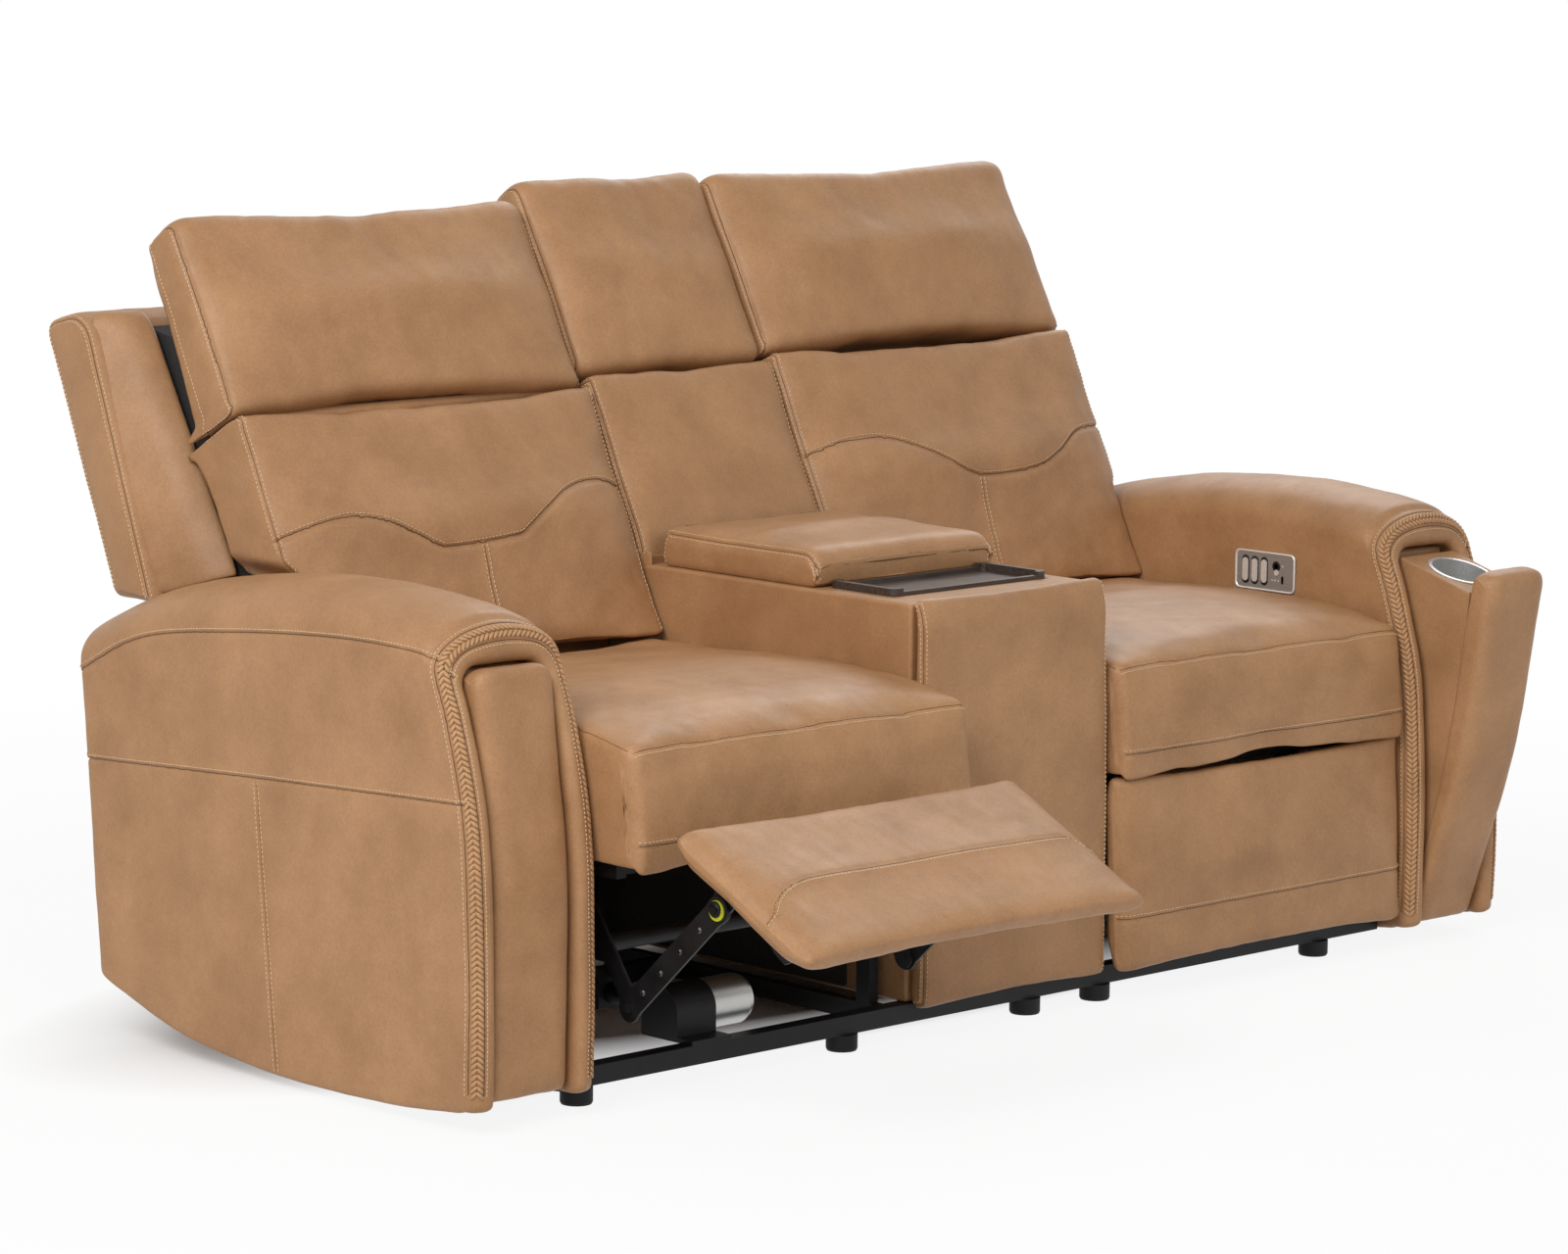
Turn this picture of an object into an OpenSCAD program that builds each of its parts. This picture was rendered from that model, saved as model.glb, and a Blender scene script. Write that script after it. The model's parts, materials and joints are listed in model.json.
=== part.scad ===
// Reclining loveseat with a console, modelled in millimetres.
// +Z is up, +X runs to the viewer's right and the front faces -Y. The floor is z = 0.
// Places along Y are first measured from the front feet; placed() then moves all of it
// so that the origin lies on the floor below the middle of the whole seat.

/* [Overall] */
// Width of one seat between the arm and the console
seat_w = 600; // [540:5:660]
// Width of the console
console_w = 356; // [330:2:400]
// Width of one arm
arm_w = 200; // [180:2:230]
// Distance from the front feet to the middle of the depth
centre_y = 257; // [200:1:300]

/* [Pose of the stored part] */
// How far the left seat has slid forward as its footrest opens
left_extend = 75; // [0:1:108]
// How far the right seat has slid forward
right_extend = 0; // [0:1:108]
// Recline of the left back from upright, in degrees
left_recline = 0; // [0:1:30]
// Tilt of the right arm's cup drawer, in degrees
right_tilt = 17; // [0:1:17]

/* [Base] */
// Diameter of a foot
foot_d = 42; // [30:1:50]
// Height of a foot
foot_h = 22; // [15:1:30]
// Width and height of the square base rails
rail_w = 25; // [20:1:30]
// Front face of the front rail
front_rail_y = -5; // [-8:1:0]
// Front face of the rear rail
rear_rail_y = 640; // [620:5:660]
// Width of a bar of the base side frame
bar_w = 16; // [12:1:20]
// Gap from the side of a seat's space to the base side frame
bar_gap = 22; // [18:1:26]
// Underside of the slide track
track_z = 280; // [276:1:284]
// Height of the slide track
track_h = 16.2; // [14:0.2:17]
// Thickness of the rear panel
rear_panel_t = 12; // [8:1:16]
// Top of the rear panel
rear_panel_top = 330; // [280:5:340]

/* [Arms] */
// Rear end of an arm
arm_rear_y = 742; // [720:2:745]
// Rise of the rounded arm top
arm_rise = 52; // [40:1:60]
// Width of the drawer's space in an arm
bay_w = 130; // [120:1:140]
// Top of the drawer's space
bay_top = 568; // [564:1:572]
// Rear end of the drawer's space
bay_rear_y = 182; // [175:1:200]

/* [Cup drawers] */
// Clear gap between the drawer and each side of its space
drawer_gap = 3; // [2:0.5:5]
// Diameter of the drawer's hinge rod
drawer_rod_d = 10; // [8:0.5:12]
// Outer diameter of the cup liner
cup_d = 88; // [80:1:94]
// Depth of the cup liner
cup_depth = 72; // [60:1:90]
// Wall of the cup liner
cup_wall = 1.5; // [1:0.5:2]
// Rear end of the drawer box
drawer_rear_y = 150; // [146:1:152]
// Top of the drawer box
drawer_top = 530; // [520:1:532]

/* [Seats] */
// Clear gap on each side of a seat cushion
seat_gap = 2; // [1.5:0.5:4]
// Rear end of the seat cushion
seat_rear_y = 572; // [540:2:574]
// Height of the seat's front top seam
seat_top = 472; // [450:2:480]
// Crown of the seat cushion at its middle
seat_crown = 16; // [8:1:18]
// Height of a carriage side rail
runner_h = 17.2; // [15:0.2:20]
// Number of zigzag springs under one seat
spring_count = 5; // [4:1:6]
// Thickness of the spring wire
spring_wire = 4; // [3:0.5:5]

/* [Footrests] */
// Gap from each side of the footrest pad to the side of the seat's space
pad_gap = 15; // [10:1:30]
// Length of the footrest pad
pad_len = 268; // [250:2:272]
// Thickness of the footrest pad
pad_t = 44; // [36:1:48]
// Distance from a link's plane to the base side frame
link_gap = 22; // [18:1:26]
// Thickness of a link plate
link_t = 4; // [3:0.5:5]
// Width of the wide lift link
lift_w = 36; // [30:1:40]
// Width of the swing link
swing_w = 30; // [26:1:34]
// Diameter of the link pins
pin_d = 12; // [10:0.5:14]
// Wall of the yellow bushing
bush_wall = 3; // [2:0.5:4]

/* [Drive] */
// Outer diameter of the drive motor
motor_d = 66; // [56:1:68]
// Length of the drive motor
motor_len = 72; // [60:1:90]
// Height of the drive's axis above the floor
drive_z = 82; // [81:1:90]
// Diameter of the drive tube
tube_d = 28; // [24:1:30]
// Rear end of the drive tube
tube_rear_y = 450; // [440:5:480]
// Length of the drive nut
nut_len = 46; // [40:1:60]

/* [Backs] */
// Lean of the back cushions from upright, in degrees
back_lean = 27.3; // [25:0.1:29]
// Depth of the back cushion's side band
back_t = 84; // [76:1:90]
// Swell of the back cushion's front at its middle
back_crown = 46; // [30:1:50]
// Depth of the headrest's side band
head_t = 76; // [68:1:84]
// Swell of the headrest's front at its middle
head_crown = 54; // [40:1:58]
// Length of the headrest along the back
head_len = 302; // [280:1:312]
// How far the headrest and the top of the back cushion stand past the seat over the arm
head_out = 20; // [0:1:24]
// Top of the outer back
shell_top = 941; // [920:1:950]
// How far the outer back stands past the seat on the arm's side
wing_w = 82; // [70:1:90]

/* [Console] */
// Height of the console body
console_h = 580; // [570:1:584]
// Width of the tray
tray_w = 294; // [280:1:300]
// Depth of the tray from front to rear
tray_depth = 122; // [110:1:124]
// Height of the tray
tray_h = 16; // [14:1:18]
// Depth of the recess that the tray sits in
tray_recess = 6; // [4:1:8]
// Front end of the lid
lid_front_y = 190; // [188:1:200]
// Room between the lid and the console's back pad for the hinge
lid_room = 27; // [26:1:36]
// Thickness of the lid at its edges
lid_t = 50; // [40:1:54]
// Wall of the storage bin
bin_wall = 36; // [30:1:45]
// Floor of the storage bin
bin_floor = 380; // [300:5:420]

/* [Controls] */
// Length of the control plate
plate_len = 115; // [110:1:120]
// Height of the control plate
plate_h = 58; // [54:1:58]
// Thickness of the control plate
plate_t = 1.6; // [1.2:0.1:1.8]
// Length of a rocker
rocker_len = 34; // [30:1:36]
// Width of a rocker
rocker_w = 11; // [9:0.5:12]
// Diameter of the round button
button_d = 9; // [7:0.5:10]

/* [Hidden] */

$fn = 48;
// Gap between two curved faces, radial gap of a pin in its hole, and gap under a slide
soft_gap = 0.3;
run_gap = 0.05;
slide_gap = 0.3;

leather = [0.70, 0.50, 0.33];
leather_dark = [0.62, 0.43, 0.28];
black_steel = [0.09, 0.09, 0.10];
silver = [0.72, 0.72, 0.70];
yellow = [0.85, 0.85, 0.10];
walnut = [0.17, 0.13, 0.11];

unit_x = (console_w + seat_w) / 2;
arm_in = console_w / 2 + seat_w;
arm_mid = arm_in + arm_w / 2;
arm_out = arm_in + arm_w;
rail_top = foot_h + rail_w;

// Height of the base side frame's bars and of the carriage that slides on it
bar_x = seat_w / 2 - bar_gap - bar_w;
link_x = bar_x - link_gap;
pad_w = seat_w - 2 * pad_gap;
track_top = track_z + track_h;
runner_z = track_top + slide_gap;
deck_z = runner_z + runner_h;
post_depth = 25;
front_post_y = front_rail_y + rail_w + 10;
rear_post_y = 585;

// Recline pivot, at the top of the base frame's rear posts
recline_y = 600;
recline_z = 420;

// The back's own plane: a point `up` along it and `deep` behind it, from its foot
back_foot = [617, 598];
function back_at(up, deep) = back_foot + [up * sin(back_lean) + deep * cos(back_lean),
    up * cos(back_lean) - deep * sin(back_lean)];
back_out = [-cos(back_lean), sin(back_lean)];

// Link geometry of the footrest in the carriage's own frame, closed
swing_pivot = [122, 274];
swing_len = 180;
swing_closed = -58.9;
lift_len = 217;
lift_closed = 144.8;
pad_closed = 3.4;
// Turn of each piece, in degrees for each millimetre that the seat slides
swing_rate = 0.888;
lift_rate = 0.1013;
pad_rate = 0.796;
// The footrest's pin lies this far down the pad and this far behind its face
pad_pin = [65, 87];

function polar(len, angle) = len * [cos(angle), sin(angle)];
function swing_angle(e) = swing_closed - swing_rate * e;
function lift_angle(e) = lift_closed - lift_rate * e;
function knee(e) = swing_pivot + polar(swing_len, swing_angle(e));
function ankle(e) = knee(e) + polar(lift_len, lift_angle(e));

// The arm seen from the side: its front at a height, and its top and its bottom along its depth
arm_front = [[20, -62], [173, -64], [330, -58], [416, -47], [510, -20], [575, 3], [650, 0]];
arm_top = [[-60, 606], [0, 622], [70, 632], [200, 645], [400, 627], [600, 588], [742, 537]];
arm_bottom = [[-60, 36], [100, 22], [330, 16], [540, 37], [690, 78], [742, 98]];

// The drawer's pivot and the line of its seam, from the top down
drawer_pivot = [-20, 60];
drawer_seam = [[12, 553], [1, 467], [-14, 367], [-28, 250], [-30, 126], [-30, 36]];

// Helpers for points and outlines
function unit(v) = v / norm(v);
function mix(a, b, t) = a + (b - a) * t;
function total(v, i = 0) = i == len(v) - 1 ? v[i] : v[i] + total(v, i + 1);
function turned(p, about, angle) = let(d = p - about) about
    + [d.x * cos(angle) - d.y * sin(angle), d.x * sin(angle) + d.y * cos(angle)];
// A corner's curve starts `reach` before it and ends as far past it
function curve(a, p, b, reach, n) = let(s = p + unit(a - p) * reach, e = p + unit(b - p) * reach)
    [for (k = [0:n]) let(t = k / n) (1 - t) * (1 - t) * s + 2 * t * (1 - t) * p + t * t * e];
function plan(c) = [c.x, c.y];
function outline(c, n = 2) = [for (i = [0:len(c) - 1])
    each curve(plan(c[(i + len(c) - 1) % len(c)]), plan(c[i]), plan(c[(i + 1) % len(c)]),
        c[i].z, n)];
function on_back(up, deep, reach) = let(p = back_at(up, deep)) [p.x, p.y, reach];

// Everything is drawn from the front feet and moved to the part's own origin
module placed() {
    translate([0, -centre_y, 0]) children();
}

// A 2-D outline in Y and Z, as thick as w and centred on x = 0
module slab(w) {
    translate([-w / 2, 0, 0])
        rotate([90, 0, 90])
            linear_extrude(w) children();
}

// A rod along X, centred on x = 0
module rod(d, w) {
    translate([-w / 2, 0, 0]) rotate([0, 90, 0]) cylinder(d = d, h = w);
}

module block(low, high) {
    translate(low) cube(high - low);
}

// Puts its children at p in the plane of Y and Z
module at_yz(p) {
    translate([0, p.x, p.y]) children();
}

// Turns its children about an axis along X through p
module tilted(p, angle) {
    at_yz(p) rotate([angle, 0, 0]) at_yz(-p) children();
}

// A copy on each side of x = 0
module both_sides() {
    children();
    mirror([1, 0, 0]) children();
}

// Closed skin over rings of points that all run the same way round. Each end is closed
// by strips from the first point to the last, the second to the last but one, and so on.
function end_strips(n) = concat(
    [for (j = [0:floor(n / 2) - 2]) each [[j, j + 1, n - 2 - j], [j, n - 2 - j, n - 1 - j]]],
    n % 2 == 1 ? [[(n - 3) / 2, (n - 1) / 2, (n + 1) / 2]] : []);

module skin(rings) {
    m = len(rings);
    n = len(rings[0]);
    far = (m - 1) * n;
    polyhedron(
        points = [for (r = rings) each r],
        faces = concat(
            [for (i = [0:m - 2], j = [0:n - 1]) let(a = i * n + j, b = i * n + (j + 1) % n)
                each [[a, a + n, b + n], [a, b + n, b]]],
            end_strips(n),
            [for (f = end_strips(n)) [far + f[2], far + f[1], far + f[0]]]));
}

// Soft pad w wide. Its outline swells along `rise` towards the middle, and its sides are
// drawn in over the last `edge` of each end.
module pad(w, corners, swell, rise, edge, steps = 6, n = 2) {
    shape = outline(corners, n);
    mid = total(shape) / len(shape);
    rings = [for (i = [-steps:steps]) let(
        s = sin(90 * i / steps),
        t = max(0, 1 - w / 2 * (1 - abs(s)) / edge),
        pull = edge * (1 - sqrt(1 - t * t)) / 3)
        [for (p = shape) let(
            out = unit(p - mid),
            q = p - out * pull + rise * swell * (1 - pow(s, 4)) * max(0, out * rise))
            [s * w / 2, q.x, q.y]]];
    skin(rings);
}

// Places for the pieces of one seat
module left_seat() {
    placed() translate([-unit_x, 0, 0]) children();
}

module right_seat() {
    placed() translate([unit_x, 0, 0]) children();
}

module slid(e) {
    translate([0, -e, 0]) children();
}

// Base

foot_x = [26 - arm_in, -console_w / 2 - 110, 58, console_w / 2 + 18, arm_in - 126];

module front_rail() {
    color(black_steel) placed()
        block([-arm_in, front_rail_y, foot_h], [arm_in, front_rail_y + rail_w, rail_top]);
}

module rear_rail() {
    color(black_steel) placed()
        block([-arm_in, rear_rail_y, foot_h], [arm_in, rear_rail_y + rail_w, rail_top]);
}

module feet() {
    color(black_steel) placed()
        for (x = foot_x, y = [front_rail_y, rear_rail_y])
            translate([x, y + rail_w / 2, 0]) {
                cylinder(d1 = foot_d - 3, d2 = foot_d, h = 3);
                translate([0, 0, 3]) cylinder(d = foot_d, h = foot_h - 3);
            }
}

// One welded side frame on each side of a seat, with the recline pin on its rear post and
// a cross bar that cradles the rear end of the drive tube
module base_frame() {
    cradle_y = tube_rear_y - 24;
    both_sides() {
        block([bar_x, front_rail_y + rail_w, foot_h], [bar_x + bar_w, rear_rail_y, rail_top]);
        block([bar_x, front_post_y, rail_top], [bar_x + bar_w, front_post_y + post_depth, track_z]);
        block([bar_x, front_post_y, track_z], [bar_x + bar_w, rear_post_y + 1, track_top]);
        block([bar_x, rear_post_y, rail_top], [bar_x + bar_w, rear_post_y + 30, recline_z]);
        translate([bar_x + bar_w / 2, recline_y, recline_z]) rod(28, bar_w);
        translate([bar_x, recline_y, recline_z]) rod(pin_d, 18);
    }
    block([-bar_x, cradle_y, foot_h], [bar_x, tube_rear_y, rail_top]);
    translate([drive_x, 0, 0])
        block([-tube_d / 2, cradle_y, rail_top], [tube_d / 2, tube_rear_y, drive_z - tube_d / 2]);
}

panel_y = arm_rear_y - 14 - rear_panel_t;
panel_low = foot_h + 48;

module rear_panel() {
    color(leather_dark) placed()
        block([-arm_in, panel_y, panel_low], [arm_in, panel_y + rear_panel_t, rear_panel_top]);
}

// Arms, drawn for the right side

arm_turns = [9, 30, 50, 70, 90];
arm_steps = [0.82, 0.64, 0.44, 0.22, 0];
arm_along = [0, 0.015, 0.09, 0.18, 0.32, 0.5, 0.66, 0.82, 0.985, 1];

// Half of the arm's outline at a share t of its length, from the top down its outer side
function arm_half(t) = let(
    y = mix(arm_front[0].y, arm_rear_y, t),
    in = t == 0 || t == 1 ? 8 : 0,
    top = lookup(y, arm_top) - in / 2,
    low = lookup(y, arm_bottom) + in / 2,
    spring = top - arm_rise)
    concat(
        [for (a = arm_turns) [(arm_w / 2 - in) * sin(a), spring + arm_rise * cos(a)]],
        [for (k = arm_steps) [arm_w / 2 - in, mix(low, spring, k)]]);

function arm_ring(t) = let(half = arm_half(t), n = len(half))
    [for (k = [0:2 * n - 1]) let(
        q = k < n ? half[k] : half[2 * n - 1 - k],
        x = k < n ? q.x : -q.x)
        [x, mix(lookup(q.y, arm_front), arm_rear_y, t), q.y]];

// Front view of the drawer's space
module bay_outline() {
    round_r = 16;
    translate([-bay_w / 2, -10]) square([bay_w, bay_top - round_r + 10]);
    translate([round_r - bay_w / 2, 0]) square([bay_w - 2 * round_r, bay_top]);
    for (x = [-1, 1])
        translate([x * (bay_w / 2 - round_r), bay_top - round_r]) circle(round_r);
}

plate_y = 222;
plate_z = 519;

module arm() {
    pocket = 9;
    translate([arm_mid, 0, 0]) {
        difference() {
            skin([for (t = arm_along) arm_ring(t)]);
            translate([0, bay_rear_y, 0])
                rotate([90, 0, 0]) linear_extrude(bay_rear_y + 120) bay_outline();
            block([-arm_w / 2 - 1, plate_y - plate_len / 2 + 8, plate_z - plate_h / 2 + 6],
                [pocket - arm_w / 2, plate_y + plate_len / 2 - 8, plate_z + plate_h / 2 - 6]);
        }
        at_yz(drawer_pivot) rod(drawer_rod_d, bay_w + 30);
    }
}

// Controls on the inner face of the right arm. The rear part of the plate holds three
// rockers and the front part a round button.

rocker_y = [260, 242, 224];
button_y = 200;

module capsule(len, w) {
    square([w, len - w], center = true);
    for (z = [-1, 1]) translate([0, z * (len - w) / 2]) circle(d = w);
}

module rounded_plate(len, h, r) {
    square([len - 2 * r, h], center = true);
    square([len, h - 2 * r], center = true);
    for (y = [-1, 1], z = [-1, 1])
        translate([y * (len / 2 - r), z * (h / 2 - r)]) circle(r);
}

module control_plate() {
    key_gap = 0.5;
    translate([arm_in - plate_t / 2, 0, 0])
        slab(plate_t)
            difference() {
                translate([plate_y, plate_z]) rounded_plate(plate_len, plate_h, 9);
                for (y = rocker_y)
                    translate([y, plate_z]) capsule(rocker_len + 2 * key_gap, rocker_w + 2 * key_gap);
                translate([button_y, plate_z]) circle(d = button_d + 2 * key_gap);
            }
}

module rocker(k) {
    translate([arm_in - plate_t / 2, rocker_y[k], plate_z]) slab(plate_t + 3) capsule(rocker_len, rocker_w);
}

module home_button() {
    proud = 1.4;
    translate([arm_in - proud / 2, button_y, plate_z]) rod(button_d, plate_t + proud + 1);
}

// Cup drawer, drawn closed at the middle of an arm

cup_y = 82;
drawer_w = bay_w - 2 * drawer_gap;

module drawer_box() {
    slab(drawer_w - 5)
        polygon(concat(
            [[drawer_rear_y, drawer_top], [drawer_seam[1].x + 4, drawer_top]],
            [for (k = [1:len(drawer_seam) - 1]) drawer_seam[k] - [5, 0]],
            [[20, 36], [drawer_rear_y, 120]]));
}

module drawer_front() {
    bulge = 21;
    rim = 8;
    pad(drawer_w, concat(
        [[drawer_seam[0].x + 4, drawer_seam[0].y + rim, 5]],
        [for (k = [0:len(drawer_seam) - 1]) [drawer_seam[k].x - bulge, drawer_seam[k].y,
            k == 0 || k == len(drawer_seam) - 1 ? 10 : 30]],
        [for (k = [len(drawer_seam) - 1:-1:1]) [drawer_seam[k].x, drawer_seam[k].y, 4]]),
        8, [-1, 0], 22, steps = 4, n = 1);
}

module cup_drawer(angle) {
    hole = cup_d + 2 * soft_gap;
    translate([arm_mid, 0, 0])
        tilted(drawer_pivot, angle)
            difference() {
                union() {
                    drawer_box();
                    drawer_front();
                }
                translate([0, cup_y, drawer_top - cup_depth - 1]) cylinder(d = hole, h = cup_depth + 60);
                at_yz(drawer_pivot) rod(drawer_rod_d + 2 * run_gap, drawer_w + 10);
            }
}

module cup_liner(angle) {
    lip = 4;
    translate([arm_mid, 0, 0])
        tilted(drawer_pivot, angle)
            translate([0, cup_y, drawer_top])
                rotate_extrude()
                    polygon([[0, -cup_depth], [cup_d / 2, -cup_depth], [cup_d / 2, 0],
                        [cup_d / 2 + lip, 0], [cup_d / 2 + lip, cup_wall],
                        [cup_d / 2 - cup_wall, cup_wall], [cup_d / 2 - cup_wall, cup_wall - cup_depth],
                        [0, cup_wall - cup_depth]]);
}

// Console

console_half = console_w / 2 - 1;
console_rear_y = 632;
tray_rear_y = lid_front_y - 6;
lid_rear_y = floor(back_low_front(console_h + 4).x) - lid_room;
lid_pivot = [lid_rear_y + 6, console_h + 46];
hinge_x = 110;
hinge_w = 22;
hinge_pin_d = 6;

module console_body() {
    spare = 1;
    color(leather) placed()
        difference() {
            block([-console_half, 0, rail_top], [console_half, console_rear_y, console_h]);
            block([bin_wall - console_half, lid_front_y + 24, bin_floor],
                [console_half - bin_wall, lid_rear_y - 28, console_h + 1]);
            block([-tray_w / 2 - spare, tray_rear_y - tray_depth - spare, console_h - tray_recess],
                [tray_w / 2 + spare, tray_rear_y + spare, console_h + 1]);
        }
}

module console_front_pad() {
    low = rail_top - 6;
    color(leather) placed()
        pad(console_w - 2, [[-soft_gap, console_h + 6, 3], [-12, console_h + 8, 10],
            [-20, console_h - 100, 40], [-34, console_h - 195, 30], [-36, rail_top + 63, 50],
            [-34, low, 12], [-9, low, 4], [-soft_gap, rail_top + 9, 5]],
            6, [-1, 0], 16, steps = 4, n = 1);
}

module console_back_pad() {
    color(leather) placed()
        back_pad(console_w - 2, console_h + 4, 18);
}

module console_headrest_pad() {
    color(leather) placed()
        head_pad(console_w - 2, 34);
}

module console_back_shell() {
    top = back_at((shell_top - back_foot.y) / cos(back_lean), soft_gap);
    low = back_at((console_h + 8 - back_foot.y) / cos(back_lean), soft_gap);
    over_panel = rear_panel_top + soft_gap;
    color(leather_dark) placed()
        slab(2 * console_half)
            polygon([low, [console_rear_y, console_h + 2], [console_rear_y, panel_low],
                [panel_y - soft_gap, panel_low], [panel_y - soft_gap, over_panel],
                shell_rear(over_panel), shell_rear(shell_top - 40),
                [shell_rear(shell_top).x - 16, shell_top], [top.x, shell_top]]);
}

module lid_hinge() {
    color(black_steel) placed()
        both_sides()
            translate([hinge_x, 0, 0]) {
                block([-hinge_w / 2, lid_rear_y + 2.5, console_h], [hinge_w / 2, lid_rear_y + 9.5, lid_pivot.y]);
                at_yz(lid_pivot) rod(hinge_pin_d + 5, hinge_w);
                at_yz(lid_pivot) rod(hinge_pin_d, hinge_w + 22);
            }
}

module console_lid() {
    low = console_h + soft_gap;
    top = low + lid_t;
    lug = 8;
    color(leather) placed() {
        pad(console_w - 16, [[lid_rear_y, top, 10], [lid_front_y, top, 14], [lid_front_y - 3, low + 20, 12],
            [lid_front_y, low, 6], [lid_rear_y, low, 6]], 13, [0, 1], 30, steps = 5);
        for (x = [-hinge_x, hinge_x], side = [-1, 1])
            translate([x + side * (hinge_w / 2 + 1 + lug / 2), 0, 0])
                difference() {
                    union() {
                        block([-lug / 2, lid_rear_y - 16, lid_pivot.y - 5.5],
                            [lug / 2, lid_pivot.x, lid_pivot.y + 5.5]);
                        at_yz(lid_pivot) rod(11, lug);
                    }
                    at_yz(lid_pivot) rod(hinge_pin_d + 2 * run_gap, lug + 2);
                }
    }
}

module console_tray() {
    rim = 9;
    base = console_h - tray_recess + slide_gap;
    color(walnut) placed()
        translate([0, tray_rear_y - tray_depth / 2, base])
            difference() {
                union() {
                    linear_extrude(tray_h - 5) rounded_plate(tray_w, tray_depth, 10);
                    linear_extrude(tray_h)
                        difference() {
                            rounded_plate(tray_w, tray_depth, 10);
                            square([tray_w - 4 * rim, tray_depth + 2], center = true);
                        }
                }
                translate([0, 0, 5]) linear_extrude(tray_h) rounded_plate(tray_w - 2 * rim, tray_depth - 2 * rim, 6);
            }
}

// Drive of one footrest

drive_x = -54;
drive_y = 58;
nut_closed_y = 330;
nut_rate = 1.3;

module motor() {
    end = 9;
    translate([-20 + (motor_len - end) / 2, drive_y, drive_z]) rod(motor_d, motor_len - end);
    translate([-20 + motor_len - end / 2, drive_y, drive_z]) rod(motor_d - 10, end);
}

module drive() {
    case_w = 68;
    case_r = 34;
    case_rear = drive_y + case_r;
    translate([drive_x, 0, 0]) {
        slab(case_w)
            union() {
                translate([drive_y, drive_z]) circle(case_r);
                translate([drive_y - case_r, rail_top]) square([2 * case_r, drive_z - rail_top]);
                translate([front_rail_y, rail_top]) square([drive_y - front_rail_y, 6]);
            }
        translate([0, case_rear - 20, drive_z]) rotate([-90, 0, 0]) cylinder(d = 44, h = 34);
        translate([0, case_rear, drive_z]) rotate([-90, 0, 0]) cylinder(d = tube_d, h = tube_rear_y - case_rear);
    }
}

module drive_nut(e) {
    ear = 6;
    translate([drive_x, nut_closed_y - nut_rate * e, drive_z])
        difference() {
            union() {
                block([-23, -nut_len, -20], [23, 0, 20]);
                for (x = [-1, 1])
                    translate([x * 20, -nut_len / 2, 20])
                        slab(ear)
                            union() {
                                translate([-12, -1]) square([24, 9]);
                                translate([0, 8]) circle(12);
                            }
            }
            translate([0, -nut_len - 1, 0]) rotate([-90, 0, 0]) cylinder(d = tube_d + 2 * slide_gap, h = nut_len + 2);
            translate([0, -nut_len / 2, 28]) rod(8, 60);
        }
}

// Carriage of one seat

frame_front_y = 22;
frame_rear_y = 520;

module seat_frame() {
    hanger = [link_x + 1, link_x + 1 + link_t];
    both_sides() {
        block([bar_x, 5, runner_z], [bar_x + bar_w, seat_rear_y - 12, deck_z]);
        block([hanger[0], swing_pivot.x - 22, runner_z], [bar_x + 1, swing_pivot.x + 22, deck_z]);
        translate([(hanger[0] + hanger[1]) / 2, 0, 0]) slab(link_t)
            union() {
                translate(swing_pivot) circle(swing_w / 2);
                translate([swing_pivot.x - 22, swing_pivot.y + 8]) square([44, deck_z - swing_pivot.y - 8]);
                translate([swing_pivot.x - swing_w / 2, swing_pivot.y]) square([swing_w, 10]);
            }
        translate([hanger[1] - 6.5, swing_pivot.x, swing_pivot.y]) rod(pin_d, 13);
    }
    block([-bar_x, frame_front_y, runner_z], [bar_x, frame_front_y + rail_w, deck_z]);
    block([-bar_x, frame_rear_y, runner_z], [bar_x, frame_rear_y + rail_w, deck_z]);
    for (k = [0:spring_count - 1])
        translate([(k - (spring_count - 1) / 2) * 2 * bar_x / (spring_count + 0.6), 0, deck_z - 9])
            zigzag_spring();
}

// A flat zigzag spring between the carriage's two cross rails
module zigzag_spring() {
    reach = 22;
    from = frame_front_y + rail_w - 1;
    to = frame_rear_y + 1;
    turns = 15;
    pitch = (to - from) / turns;
    linear_extrude(spring_wire)
        for (k = [0:turns - 1]) {
            side = k % 2 == 0 ? -1 : 1;
            translate([side * reach - spring_wire / 2, from + k * pitch]) square([spring_wire, pitch + spring_wire]);
            if (k > 0)
                translate([-reach, from + k * pitch]) square([2 * reach, spring_wire]);
        }
}

module seat_cushion() {
    low = deck_z + soft_gap;
    pad(seat_w - 2 * seat_gap, [[seat_rear_y, seat_top + 12, 24], [200, seat_top + 24, 90],
        [-32, seat_top, 30], [-46, 350, 24], [-28, low, 8], [seat_rear_y, low, 20]],
        seat_crown, unit([-0.35, 0.94]), 34);
}

// Linkage of one footrest, drawn for how far the seat has slid

function between(a, b) = atan2(b.y - a.y, b.x - a.x);

// A flat bar from a to b with a wider eye at each end
module bar_outline(a, b, w) {
    waist = w - 4;
    translate(a) {
        circle(w / 2);
        rotate(between(a, b)) translate([0, -waist / 2]) square([norm(b - a), waist]);
    }
    translate(b) circle(w / 2);
}

module swing_links(e) {
    hip = swing_pivot;
    both_sides() {
        translate([link_x - link_t / 2, 0, 0])
            slab(link_t)
                difference() {
                    bar_outline(hip, knee(e), swing_w);
                    translate(hip) circle(pin_d / 2 + run_gap);
                }
        translate([link_x + link_t / 2, 0, 0]) at_yz(knee(e)) rod(pin_d, 2 * link_t + 6);
    }
    at_yz(mix(hip, knee(e), 0.5)) rod(swing_w - 8, 2 * (link_x - link_t));
}

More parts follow.
